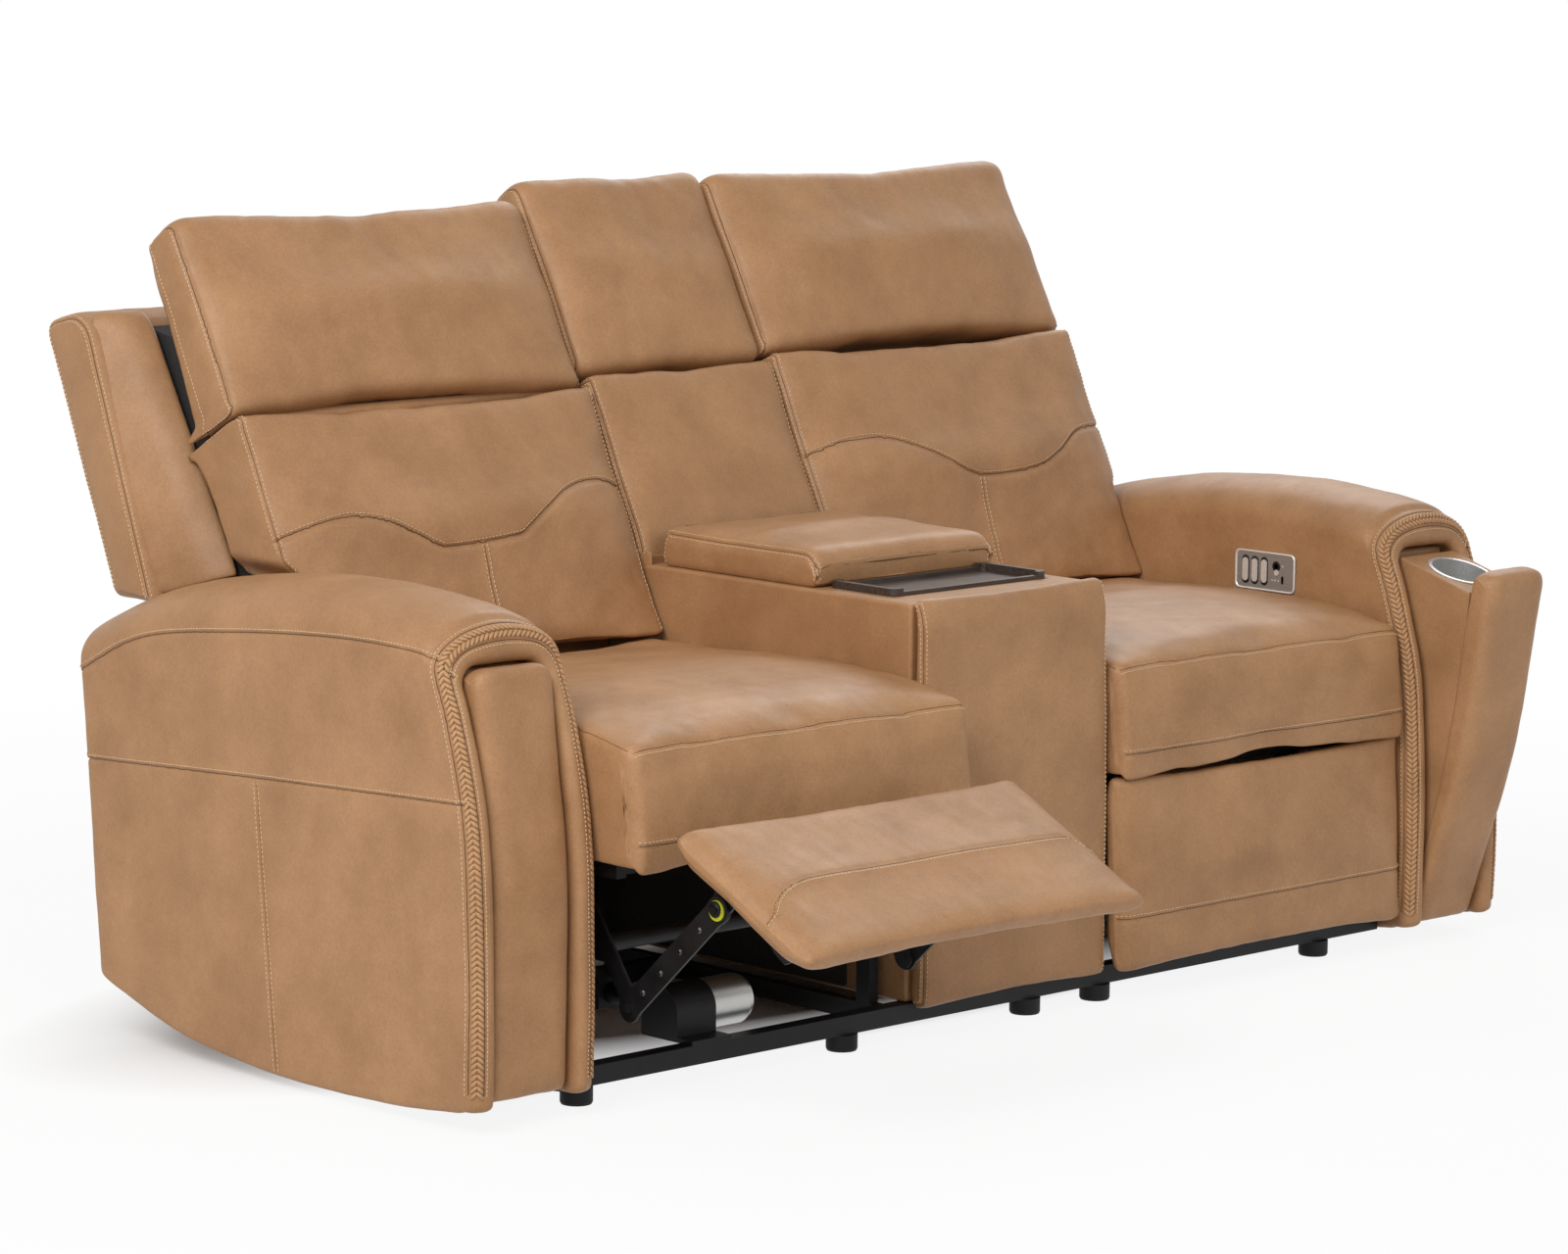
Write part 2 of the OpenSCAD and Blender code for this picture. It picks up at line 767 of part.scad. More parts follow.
module lift_links(e) {
    both_sides()
        translate([link_x + 1 + link_t / 2, 0, 0])
            slab(link_t)
                difference() {
                    bar_outline(knee(e), ankle(e), lift_w);
                    translate(knee(e)) circle(pin_d / 2 + run_gap);
                    translate(ankle(e)) circle(pin_d / 2 + run_gap + bush_wall);
                }
}

module link_bushings(e) {
    flange = 2;
    r = pin_d / 2 + run_gap;
    both_sides()
        translate([link_x + 1, 0, 0]) at_yz(ankle(e))
            rotate([0, 90, 0])
                difference() {
                    union() {
                        cylinder(r = r + bush_wall - 0.02, h = link_t + flange);
                        translate([0, 0, link_t]) cylinder(r = r + bush_wall + 4, h = flange);
                    }
                    translate([0, 0, -1]) cylinder(r = r, h = link_t + flange + 2);
                }
}

pad_dir = [-sin(pad_closed), -cos(pad_closed)];
pad_back = [cos(pad_closed), -sin(pad_closed)];
pad_top = ankle(0) - pad_pin.x * pad_dir - pad_pin.y * pad_back;
function on_pad(u, v) = pad_top + u * pad_dir + v * pad_back;
function pad_corner(u, v, reach) = let(p = on_pad(u, v)) [p.x, p.y, reach];

// Carries what is drawn on the closed footrest to its place
module on_footrest(e) {
    translate([0, ankle(e).x, ankle(e).y])
        rotate([-pad_rate * e, 0, 0])
            at_yz(-ankle(0)) children();
}

module footrest_brackets(e) {
    seat_v = pad_t + soft_gap;
    on_footrest(e)
        both_sides() {
            translate([link_x - link_t / 2, 0, 0])
                slab(link_t)
                    union() {
                        translate(ankle(0)) circle(16);
                        polygon([on_pad(42, seat_v), on_pad(206, seat_v), on_pad(208, 58), on_pad(190, 80),
                            on_pad(168, 78), on_pad(140, 64), on_pad(84, 70), on_pad(76, 94), on_pad(50, 92)]);
                    }
            translate([link_x + link_t / 2 + 2, 0, 0]) at_yz(ankle(0)) rod(pin_d, 2 * link_t + 8);
            block_on_pad();
        }
}

// The bracket's flange, which is screwed flat to the back of the pad
module block_on_pad() {
    translate([link_x - 14, 0, 0])
        slab(28)
            polygon([on_pad(42, pad_t + soft_gap), on_pad(206, pad_t + soft_gap),
                on_pad(206, pad_t + soft_gap + 3), on_pad(42, pad_t + soft_gap + 3)]);
}

module footrest_pad(e) {
    on_footrest(e)
        pad(pad_w, [pad_corner(0, pad_t, 6), pad_corner(0, 0, 12), pad_corner(96, -3, 20),
            pad_corner(pad_len, 0, 14), pad_corner(pad_len - 2, pad_t, 6)], 10, -pad_back, 26);
}

// Back of one seat, drawn upright

// Front and rear faces of the outer back at a height z
wing_foot_z = 562;
shell_foot = 737;
shell_depth = 86;
function shell_front(z) = [shell_foot + (z - wing_foot_z) * 0.375, z];
function shell_rear(z) = [shell_foot + shell_depth + (z - wing_foot_z) * 0.431, z];
back_half = seat_w / 2 - 2;

module back_frame() {
    front = recline_z + 30;
    brace = [bar_x - 6, bar_x - 1];
    slab(2 * back_half - 20)
        polygon([back_at(-100, soft_gap), [recline_y - 2, front], shell_front(front) - [soft_gap, 0],
            shell_front(shell_top - 26) - [soft_gap, 0], back_at(340, soft_gap)]);
    both_sides()
        translate([(brace[0] + brace[1]) / 2, 0, 0])
            slab(brace[1] - brace[0])
                difference() {
                    union() {
                        translate([recline_y, recline_z]) circle(18);
                        polygon([[recline_y - 18, recline_z], [recline_y + 18, recline_z],
                            [recline_y + 60, front + 4], [recline_y, front + 4]]);
                    }
                    translate([recline_y, recline_z]) circle(pin_d / 2 + run_gap);
                }
}

// Outer back with its wing on the -X side
module back_shell() {
    low = 425;
    mid_x = -wing_w / 2;
    slab(2 * back_half)
        polygon([shell_front(low), shell_rear(low), shell_rear(wing_foot_z + 12),
            shell_front(wing_foot_z + 12)]);
    translate([mid_x, 0, 0])
        pad(2 * back_half + wing_w, [concat(shell_rear(wing_foot_z), 4), concat(shell_rear(shell_top - 22), 26),
            concat(shell_front(shell_top) + [20, 0], 20), concat(shell_front(shell_top - 24), 12),
            concat(shell_front(wing_foot_z), 4)], 5, unit([1, -0.4]), 20, steps = 5);
}

// Lower front edge of a back cushion whose underside lies at `low`
function back_low_front(low) =
    back_at((low - back_foot.y - back_t * sin(back_lean)) / cos(back_lean), -back_t);

// A back cushion whose underside lies at `low`
module back_pad(w, low, swell) {
    front_low = back_low_front(low);
    rear_low = back_at((low - back_foot.y) / cos(back_lean), -soft_gap);
    pad(w, [on_back(193, -soft_gap, 8), on_back(193, -back_t, 22), on_back(78, -back_t - 12, 34),
        on_back(26, -back_t - 2, 14), on_back(-60, -back_t - 10, 26), [front_low.x, low, 18],
        [rear_low.x, low, 5]], swell, back_out, 34);
}

// Back cushion of a seat whose arm is on the -X side. It is cut away round the arm.
module back_cushion() {
    over_arm = arm_top[4].y - 3;
    difference() {
        translate([-head_out / 2, 0, 0]) back_pad(seat_w - 3 + head_out, seat_top + 33, back_crown);
        block([-seat_w, back_foot.x - 300, 0], [1.5 - seat_w / 2, back_foot.x + 100, over_arm]);
    }
}

// Headrest

head_low = 212;
head_deep = 60;
head_pivot = back_at(204, -head_deep);
head_pin_d = 8;
head_arm_x = 160;
head_arm_w = 20;

module head_pad(w, swell) {
    pad(w, [on_back(head_low + head_len - 14, -soft_gap, 20), on_back(head_low + head_len, -head_t, 30),
        on_back(head_low + 110, -head_t - 8, 40), on_back(head_low, -head_t - 2, 22),
        on_back(head_low, -soft_gap, 6)], swell, back_out, 34);
}

module headrest_hinge() {
    both_sides()
        translate([head_arm_x, 0, 0]) {
            slab(head_arm_w)
                union() {
                    polygon([back_at(200, soft_gap), back_at(200, -head_deep), back_at(208, -head_deep),
                        back_at(208, soft_gap)]);
                    translate(head_pivot) circle(7);
                }
            at_yz(head_pivot) rod(head_pin_d, head_arm_w + 16);
        }
}

// Headrest of a seat whose arm is on the -X side
module headrest_cushion() {
    lug = 6;
    near = head_deep - 6;
    far = head_deep + 6;
    translate([-head_out / 2, 0, 0]) head_pad(seat_w - 3 + head_out, head_crown);
    for (x = [-head_arm_x, head_arm_x], side = [-1, 1])
        translate([x + side * (head_arm_w / 2 + 1 + lug / 2), 0, 0])
            slab(lug)
                difference() {
                    union() {
                        translate(head_pivot) circle(6.5);
                        polygon([back_at(204, -near), back_at(204, -far), back_at(head_low + 8, -far),
                            back_at(head_low + 8, -near)]);
                    }
                    translate(head_pivot) circle(head_pin_d / 2 + run_gap);
                }
}

module reclined(angle) {
    tilted([recline_y, recline_z], -angle) children();
}

// What is drawn for the right arm, on each side
module on_right() {
    placed() children();
}

module on_left() {
    placed() mirror([1, 0, 0]) children();
}

front_rail();
rear_rail();
feet();
color(black_steel) left_seat() base_frame();  // left_base_frame
color(black_steel) right_seat() base_frame();  // right_base_frame
rear_panel();
color(leather) on_left() arm();  // left_arm
color(leather) on_right() arm();  // right_arm
console_body();
console_front_pad();
console_back_pad();
console_headrest_pad();
console_back_shell();
lid_hinge();
console_lid();
console_tray();
color(silver) on_left() control_plate();  // left_control_plate
color(silver) on_right() control_plate();  // right_control_plate
color(silver) on_left() rocker(0);  // left_rocker_recline
color(silver) on_left() rocker(1);  // left_rocker_headrest
color(silver) on_left() rocker(2);  // left_rocker_lumbar
color(silver) on_right() rocker(0);  // right_rocker_recline
color(silver) on_right() rocker(1);  // right_rocker_headrest
color(silver) on_right() rocker(2);  // right_rocker_lumbar
color(silver) on_left() home_button();  // left_home_button
color(silver) on_right() home_button();  // right_home_button
color(leather) on_left() cup_drawer(0);  // left_cup_drawer
color(leather) on_right() cup_drawer(right_tilt);  // right_cup_drawer
color(silver) on_left() cup_liner(0);  // left_cup_liner
color(silver) on_right() cup_liner(right_tilt);  // right_cup_liner
color(silver) left_seat() motor();  // left_motor
color(silver) right_seat() motor();  // right_motor
color(black_steel) left_seat() drive();  // left_drive
color(black_steel) right_seat() drive();  // right_drive
color(black_steel) left_seat() drive_nut(left_extend);  // left_drive_nut
color(black_steel) right_seat() drive_nut(right_extend);  // right_drive_nut
color(black_steel) left_seat() slid(left_extend) seat_frame();  // left_seat_frame
color(black_steel) right_seat() slid(right_extend) seat_frame();  // right_seat_frame
color(leather) left_seat() slid(left_extend) seat_cushion();  // left_seat_cushion
color(leather) right_seat() slid(right_extend) seat_cushion();  // right_seat_cushion
color(black_steel) left_seat() slid(left_extend) swing_links(left_extend);  // left_swing_links
color(black_steel) right_seat() slid(right_extend) swing_links(right_extend);  // right_swing_links
color(black_steel) left_seat() slid(left_extend) lift_links(left_extend);  // left_lift_links
color(black_steel) right_seat() slid(right_extend) lift_links(right_extend);  // right_lift_links
color(yellow) left_seat() slid(left_extend) link_bushings(left_extend);  // left_link_bushings
color(yellow) right_seat() slid(right_extend) link_bushings(right_extend);  // right_link_bushings
color(black_steel) left_seat() slid(left_extend) footrest_brackets(left_extend);  // left_footrest_brackets
color(black_steel) right_seat() slid(right_extend) footrest_brackets(right_extend);  // right_footrest_brackets
color(leather) left_seat() slid(left_extend) footrest_pad(left_extend);  // left_footrest_pad
color(leather) right_seat() slid(right_extend) footrest_pad(right_extend);  // right_footrest_pad
color(black_steel) left_seat() reclined(left_recline) back_frame();  // left_back_frame
color(black_steel) right_seat() back_frame();  // right_back_frame
color(leather_dark) left_seat() reclined(left_recline) back_shell();  // left_back_shell
color(leather_dark) right_seat() mirror([1, 0, 0]) back_shell();  // right_back_shell
color(leather) left_seat() reclined(left_recline) back_cushion();  // left_back_cushion
color(leather) right_seat() mirror([1, 0, 0]) back_cushion();  // right_back_cushion
color(black_steel) left_seat() reclined(left_recline) headrest_hinge();  // left_headrest_hinge
color(black_steel) right_seat() headrest_hinge();  // right_headrest_hinge
color(leather) left_seat() reclined(left_recline) headrest_cushion();  // left_headrest_cushion
color(leather) right_seat() mirror([1, 0, 0]) headrest_cushion();  // right_headrest_cushion
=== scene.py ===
# Visual model of a reclining leather loveseat with a console between its two seats.
# Sizes are millimetres with Y measured from the front feet, as the construction is drawn;
# place() turns them into metres about the part's own origin.
import json
import math

import bmesh
import bpy
import numpy as np
from mathutils import Matrix, Vector
from mathutils.bvhtree import BVHTree


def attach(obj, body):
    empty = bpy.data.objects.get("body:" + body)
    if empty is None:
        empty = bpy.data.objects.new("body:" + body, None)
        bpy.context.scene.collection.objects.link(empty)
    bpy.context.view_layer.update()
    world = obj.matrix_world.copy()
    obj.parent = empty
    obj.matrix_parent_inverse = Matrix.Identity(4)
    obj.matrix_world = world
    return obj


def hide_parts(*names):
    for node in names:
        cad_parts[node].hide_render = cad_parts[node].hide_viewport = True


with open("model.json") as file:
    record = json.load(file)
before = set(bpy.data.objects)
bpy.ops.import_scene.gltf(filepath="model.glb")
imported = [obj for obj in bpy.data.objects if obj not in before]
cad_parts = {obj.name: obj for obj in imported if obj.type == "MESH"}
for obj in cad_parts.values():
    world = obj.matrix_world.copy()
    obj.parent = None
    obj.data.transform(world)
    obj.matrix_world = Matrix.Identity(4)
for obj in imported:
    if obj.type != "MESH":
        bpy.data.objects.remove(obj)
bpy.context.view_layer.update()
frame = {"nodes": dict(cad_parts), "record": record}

# Overall places
CENTRE_Y = 257.0
CONSOLE_W = 356.0
SEAT_W = 600.0
ARM_W = 200.0
UNIT_X = (CONSOLE_W + SEAT_W) / 2
ARM_IN = CONSOLE_W / 2 + SEAT_W
ARM_MID = ARM_IN + ARM_W / 2
LEFT_SLIDE = 75.0
DRAWER_TILT = 17.0
SIDES = {"left": -1, "right": 1}
SLIDE = {"left": LEFT_SLIDE, "right": 0.0}

# The back's own plane
BACK_LEAN = math.radians(27.3)
BACK_FOOT = np.array([617.0, 598.0])
BACK_OUT = np.array([-math.cos(BACK_LEAN), math.sin(BACK_LEAN)])
BACK_UP = np.array([math.sin(BACK_LEAN), math.cos(BACK_LEAN)])

STITCH_PITCH = 6.2
SOFT_GAP = 0.3
CLOTH_FRAMES, EVENING_ROUNDS = 20, 10


def back_at(up, deep):
    """The (y, z) of a point up along the back's plane and deep behind it."""
    return BACK_FOOT + up * BACK_UP - deep * BACK_OUT


def on_back(up, deep, reach):
    """The same as a corner for rounded()."""
    y, z = back_at(up, deep)
    return (y, z, reach)


def place(points):
    p = np.array(points, float)
    p[:, 1] -= CENTRE_Y
    return p * 0.001


def unit(v):
    v = np.asarray(v, float)
    return v / max(np.linalg.norm(v), 1e-9)


def rows_unit(v):
    return v / np.maximum(np.linalg.norm(v, axis=1, keepdims=True), 1e-9)


def smooth_step(t):
    t = np.clip(t, 0, 1)
    return t * t * (3 - 2 * t)


def turn_x(points, about, degrees):
    """Turns points about an axis along X through the point `about` of the Y-Z plane."""
    a = math.radians(degrees)
    p = np.array(points, float)
    y, z = p[:, 1] - about[0], p[:, 2] - about[1]
    p[:, 1] = about[0] + y * math.cos(a) - z * math.sin(a)
    p[:, 2] = about[1] + y * math.sin(a) + z * math.cos(a)
    return p


def ripple(p, size, seed, count=7):
    """Smooth noise between about -1 and 1, with features of `size`."""
    rng = np.random.default_rng(seed)
    total = np.zeros(len(p))
    for _ in range(count):
        way = unit(rng.normal(size=3)) * 2 * math.pi / (size * rng.uniform(0.7, 1.6))
        total += np.sin(p @ way + rng.uniform(0, 2 * math.pi))
    return total / math.sqrt(count) / 1.4


# Outlines


def rounded(corners, bend=6):
    """Closed outline through corners (y, z, reach), each rounded over its reach."""
    c = np.array(corners, float)
    points = []
    for i in range(len(c)):
        p, reach = c[i, :2], c[i, 2]
        start = p + unit(c[i - 1, :2] - p) * reach
        end = p + unit(c[(i + 1) % len(c), :2] - p) * reach
        for t in np.linspace(0, 1, bend + 1):
            points.append((1 - t) ** 2 * start + 2 * t * (1 - t) * p + t * t * end)
    return np.array(points)


def lengths(p):
    """How far along a line each of its points lies."""
    return np.r_[0, np.cumsum(np.linalg.norm(np.diff(p, axis=0), axis=1))]


def at_lengths(p, s):
    return np.column_stack([np.interp(s, lengths(p), column) for column in p.T])


def looped(p):
    return np.vstack([p, p[:1]])


def resample(points, step, closed=False):
    p = np.asarray(points, float)
    if closed:
        p = looped(p)
    total = lengths(p)[-1]
    n = max(4, int(round(total / step)))
    if closed:
        return at_lengths(p, np.linspace(0, total, n + n % 2, endpoint=False))
    return at_lengths(p, np.linspace(0, total, n + 1))


def spline(points, step):
    """Smooth open curve through the points."""
    p = np.asarray(points, float)
    p = np.vstack([2 * p[0] - p[1], p, 2 * p[-1] - p[-2]])
    fine = []
    for i in range(1, len(p) - 2):
        for t in np.linspace(0, 1, 24, endpoint=False):
            a = 2 * p[i] + (p[i + 1] - p[i - 1]) * t
            b = (2 * p[i - 1] - 5 * p[i] + 4 * p[i + 1] - p[i + 2]) * t * t
            c = (3 * p[i] - p[i - 1] - 3 * p[i + 1] + p[i + 2]) * t ** 3
            fine.append((a + b + c) / 2)
    fine.append(p[-2])
    return resample(np.array(fine), step)


# Meshes: a shape is a pair of vertices in millimetres and faces


def grid_faces(rows, cols, closed=False):
    faces = []
    for i in range(rows - 1):
        for j in range(cols if closed else cols - 1):
            k = (j + 1) % cols
            faces.append((i * cols + j, (i + 1) * cols + j, (i + 1) * cols + k, i * cols + k))
    return faces


def cap(verts, ring, bulge, way, cells=10):
    """Closes a ring of vertices with rows of cells across its short side, swollen along way."""
    ring = list(ring)
    n = len(ring)
    p = verts[ring]
    costs = [sum(np.linalg.norm(p[(k + j) % n] - p[(k - 1 - j) % n]) for j in range(0, n // 2, 4))
             for k in range(0, n, 2)]
    k = 2 * int(np.argmin(costs))
    ring = ring[k:] + ring[:k]
    p = verts[ring]
    half = n // 2
    rows, added, faces = [], [], []
    count = len(verts)
    q = np.linspace(0, 1, cells + 1)
    for j in range(1, half - 1):
        a, b = p[j], p[n - 1 - j]
        ends = min(1.0, j / 4, (half - 1 - j) / 4)
        inner = a + np.outer(q[1:-1], b - a)
        swell = bulge * ends ** 0.5 * (1 - (2 * q[1:-1] - 1) ** 4)
        inner = inner + np.outer(swell, way)
        rows.append([ring[j]] + list(range(count, count + cells - 1)) + [ring[n - 1 - j]])
        added.append(inner)
        count += cells - 1
    for a, b in zip(rows, rows[1:]):
        for c in range(cells):
            faces.append((a[c], b[c], b[c + 1], a[c + 1]))
    middle = cells // 2
    for row, near, far in ((rows[0], ring[0], ring[n - 1]), (rows[-1], ring[half - 1], ring[half])):
        for c in range(cells):
            faces.append((near if c < middle else far, row[c], row[c + 1]))
        faces.append((near, row[middle], far))
    return np.vstack([verts] + added), faces


def normals_of(shape):
    """Outward directions at the points of a closed outline."""
    way = np.roll(shape, -1, axis=0) - np.roll(shape, 1, axis=0)
    area = np.sum(shape[:, 0] * np.roll(shape[:, 1], -1) - shape[:, 1] * np.roll(shape[:, 0], -1))
    return rows_unit(np.column_stack([way[:, 1], -way[:, 0]]) * np.sign(area))


def outward(shape):
    """The same directions, evened out round the corners."""
    out = normals_of(shape)
    for _ in range(3):
        out = rows_unit(np.roll(out, 1, axis=0) + 2 * out + np.roll(out, -1, axis=0))
    return out


def stack(rings):
    """Joins rings of points and closes both ends flat."""
    n, last = len(rings[0]), (len(rings) - 1) * len(rings[0])
    ends = [tuple(range(n)), tuple(range(last, last + n))[::-1]]
    return np.vstack(rings), grid_faces(len(rings), n, closed=True) + ends


def loft(rings, ends, cells=10, faces=None):
    """Joins rings of points and closes each end, swollen by its own (bulge, way)."""
    n, last = len(rings[0]), (len(rings) - 1) * len(rings[0])
    verts, faces = np.vstack(rings), faces or grid_faces(len(rings), n, closed=True)
    for first, (bulge, way) in zip((0, last), ends):
        verts, end = cap(verts, range(first, first + n), bulge, way, cells)
        faces = faces + end
    return verts, faces


def joined(shapes):
    verts, faces, first = [], [], 0
    for v, f in shapes:
        verts.append(v)
        faces += [tuple(first + k for k in face) for face in f]
        first += len(v)
    return np.vstack(verts), faces


class Pad:
    """A soft pad along X whose sides meet its outline in a tight fold.

    It is crowned by swell along rise, and drawn in over the last edge of its width. hold gives
    the share of that drawing in for each outward direction.
    """

    def __init__(self, w, corners, swell, rise, edge, drawn, power=4, bulge=3, step=8.0, hold=None):
        self.half = w / 2 - bulge
        self.shape = resample(rounded(corners), step, closed=True)
        self.out = outward(self.shape)
        self.rise = np.asarray(rise, float)
        self.lift = swell * np.maximum(0, rows_unit(self.shape - self.shape.mean(axis=0)) @ self.rise)
        self.share = hold(self.out) if hold else np.ones(len(self.shape))
        self.edge, self.drawn, self.power, self.bulge, self.step = edge, drawn, power, bulge, step

    def ring(self, x):
        s = min(1.0, abs(x) / self.half)
        t = max(0.0, (abs(x) - self.half + self.edge) / self.edge)
        pull = self.drawn * (1 - math.sqrt(max(0.0, 1 - min(t, 1) ** 2))) * self.share
        lift = self.lift * (1 - s ** self.power)
        q = self.shape - self.out * pull[:, None] + np.outer(lift, self.rise)
        return np.column_stack([np.full(len(q), float(x)), q])

    def stations(self):
        flat = self.half - self.edge
        inner = np.linspace(-flat, flat, max(3, int(2 * flat / self.step) + 1))
        outer = flat + self.edge * np.sin(np.linspace(0, math.pi / 2, 5)[1:])
        return np.concatenate([-outer[::-1], inner, outer])

    def mesh(self):
        return loft([self.ring(x) for x in self.stations()], [(self.bulge, (k, 0, 0)) for k in (-1, 1)])

    def fold(self, side, keep):
        """The longest stretch, picked by keep(points), of the line where a side meets the outline."""
        ring = self.ring(side * (self.half - 0.8))
        on = keep(np.column_stack([ring[:, 0], self.shape]))
        runs = [np.roll(ring, -start, axis=0)[:np.argmin(np.roll(on, -start))]
                for start in np.where(on & ~np.roll(on, 1))[0]]
        return max(runs, key=len)


def prism(w, corners, edge=4.0, bend=4):
    """A firm slab along X with rounded edges. Its outline need not be convex."""
    shape = rounded(corners, bend)
    shape = shape[np.linalg.norm(shape - np.roll(shape, 1, axis=0), axis=1) > 0.05]
    out = normals_of(shape)
    side = [(w / 2 - edge * (1 - math.sin(a)), edge * (1 - math.cos(a))) for a in np.linspace(0, math.pi / 2, 5)]
    stations = [(-x, inset) for x, inset in side[::-1]] + side
    return stack([np.column_stack([np.full(len(shape), x), shape - out * inset]) for x, inset in stations])


def rod(radius, start, end, sides=24):
    """A closed cylinder between two points."""
    start, end = np.array(start, float), np.array(end, float)
    way = unit(end - start)
    side = unit(np.cross(way, [1, 0, 0] if abs(way[0]) < 0.9 else [0, 1, 0]))
    up = np.cross(way, side)
    a = np.arange(sides) * 2 * math.pi / sides
    ring = radius * (np.outer(np.cos(a), side) + np.outer(np.sin(a), up))
    return stack([start + ring, end + ring])


def block(low, high):
    x, y, z = zip(low, high)
    verts = np.array([(a, b, c) for a in x for b in y for c in z], float)
    return verts, [(0, 1, 3, 2), (4, 6, 7, 5), (0, 4, 5, 1), (2, 3, 7, 6), (0, 2, 6, 4), (1, 5, 7, 3)]


def working_object(verts, faces, weld=False):
    """A linked object for a modifier to work on."""
    mesh = bpy.data.meshes.new("working")
    mesh.from_pydata((np.asarray(verts) * 0.001).tolist(), [], faces)
    bm = bmesh.new()
    bm.from_mesh(mesh)
    if weld:
        bmesh.ops.remove_doubles(bm, verts=bm.verts, dist=2e-5)
    bmesh.ops.recalc_face_normals(bm, faces=bm.faces)
    bm.to_mesh(mesh)
    bm.free()
    obj = bpy.data.objects.new("working", mesh)
    bpy.context.scene.collection.objects.link(obj)
    return obj


def take_shape(obj, *others):
    """The object's shape after its modifiers. The working objects are removed."""
    graph = bpy.context.evaluated_depsgraph_get()
    mesh = bpy.data.meshes.new_from_object(obj.evaluated_get(graph), depsgraph=graph)
    verts = np.zeros(len(mesh.vertices) * 3)
    mesh.vertices.foreach_get("co", verts)
    loops = np.zeros(len(mesh.loops), int)
    mesh.loops.foreach_get("vertex_index", loops)
    totals = np.zeros(len(mesh.polygons), int)
    mesh.polygons.foreach_get("loop_total", totals)
    faces = [tuple(f) for f in np.split(loops, np.cumsum(totals)[:-1])]
    meshes = [mesh] + [each.data for each in (obj, *others)]
    for each in (obj, *others):
        bpy.data.objects.remove(each)
    for each in meshes:
        bpy.data.meshes.remove(each)
    return verts.reshape(-1, 3) * 1000.0, faces


def refine(verts, faces, weld=False):
    """Subdivides a shape and smooths it."""
    obj = working_object(verts, faces, weld)
    rule = obj.modifiers.new("Subdivision", "SUBSURF")
    rule.levels = rule.render_levels = 1
    return take_shape(obj)


def carve(shape, cut):
    """Cuts one closed shape out of another."""
    whole, tool = working_object(*shape), working_object(*cut)
    rule = whole.modifiers.new("Boolean", "BOOLEAN")
    rule.operation, rule.solver, rule.object = "DIFFERENCE", "EXACT", tool
    return take_shape(whole, tool)


def inflate(verts, faces, limit, pinned):
    """Swells a shape as cloth under pressure. No point moves further than limit."""
    obj = working_object(verts, faces)
    cloth = obj.modifiers.new("Cloth", "CLOTH")
    rules = cloth.settings
    rules.quality = 5
    rules.mass = 0.4
    rules.tension_stiffness = rules.compression_stiffness = 18
    rules.shear_stiffness = 8
    rules.bending_stiffness = 1.5
    rules.use_pressure = True
    rules.uniform_pressure_force = 4.0
    rules.effector_weights.gravity = 0
    rules.shrink_min = -0.012
    group = obj.vertex_groups.new(name="pinned")
    group.add([int(k) for k in pinned], 1.0, "REPLACE")
    rules.vertex_group_mass = group.name
    cloth.point_cache.frame_start, cloth.point_cache.frame_end = 1, CLOTH_FRAMES
    for number in range(1, CLOTH_FRAMES + 1):
        bpy.context.scene.frame_set(number)
    moved = take_shape(obj)[0] - verts
    bpy.context.scene.frame_set(1)
    normals = vertex_normals(verts, faces)
    rise = np.maximum(0, np.einsum("ij,ij->i", moved, normals))
    rise = evened(limit * np.tanh(rise / limit), faces, EVENING_ROUNDS)
    return verts + normals * rise[:, None], faces


def evened(values, faces, rounds):
    """Averages a value at each vertex with its neighbours' values."""
    edges = np.array(sorted({tuple(sorted((f[i], f[i - 1]))) for f in faces for i in range(len(f))}))
    count = np.maximum(1, np.bincount(edges.ravel(), minlength=len(values)))
    for _ in range(rounds):
        total = np.bincount(edges[:, 0], values[edges[:, 1]], len(values))
        total += np.bincount(edges[:, 1], values[edges[:, 0]], len(values))
        values = 0.5 * values + 0.5 * total / count
    return values


def vertex_normals(verts, faces):
    """Normals that point out of a closed shape."""
    mesh = bpy.data.meshes.new("normals")
    mesh.from_pydata(verts.tolist(), [], faces)
    mesh.update()
    normals = np.zeros(len(verts) * 3)
    mesh.vertices.foreach_get("normal", normals)
    bpy.data.meshes.remove(mesh)
    return normals.reshape(-1, 3)


# Sewing


def directions(spots):
    return rows_unit(np.gradient(spots, axis=0))


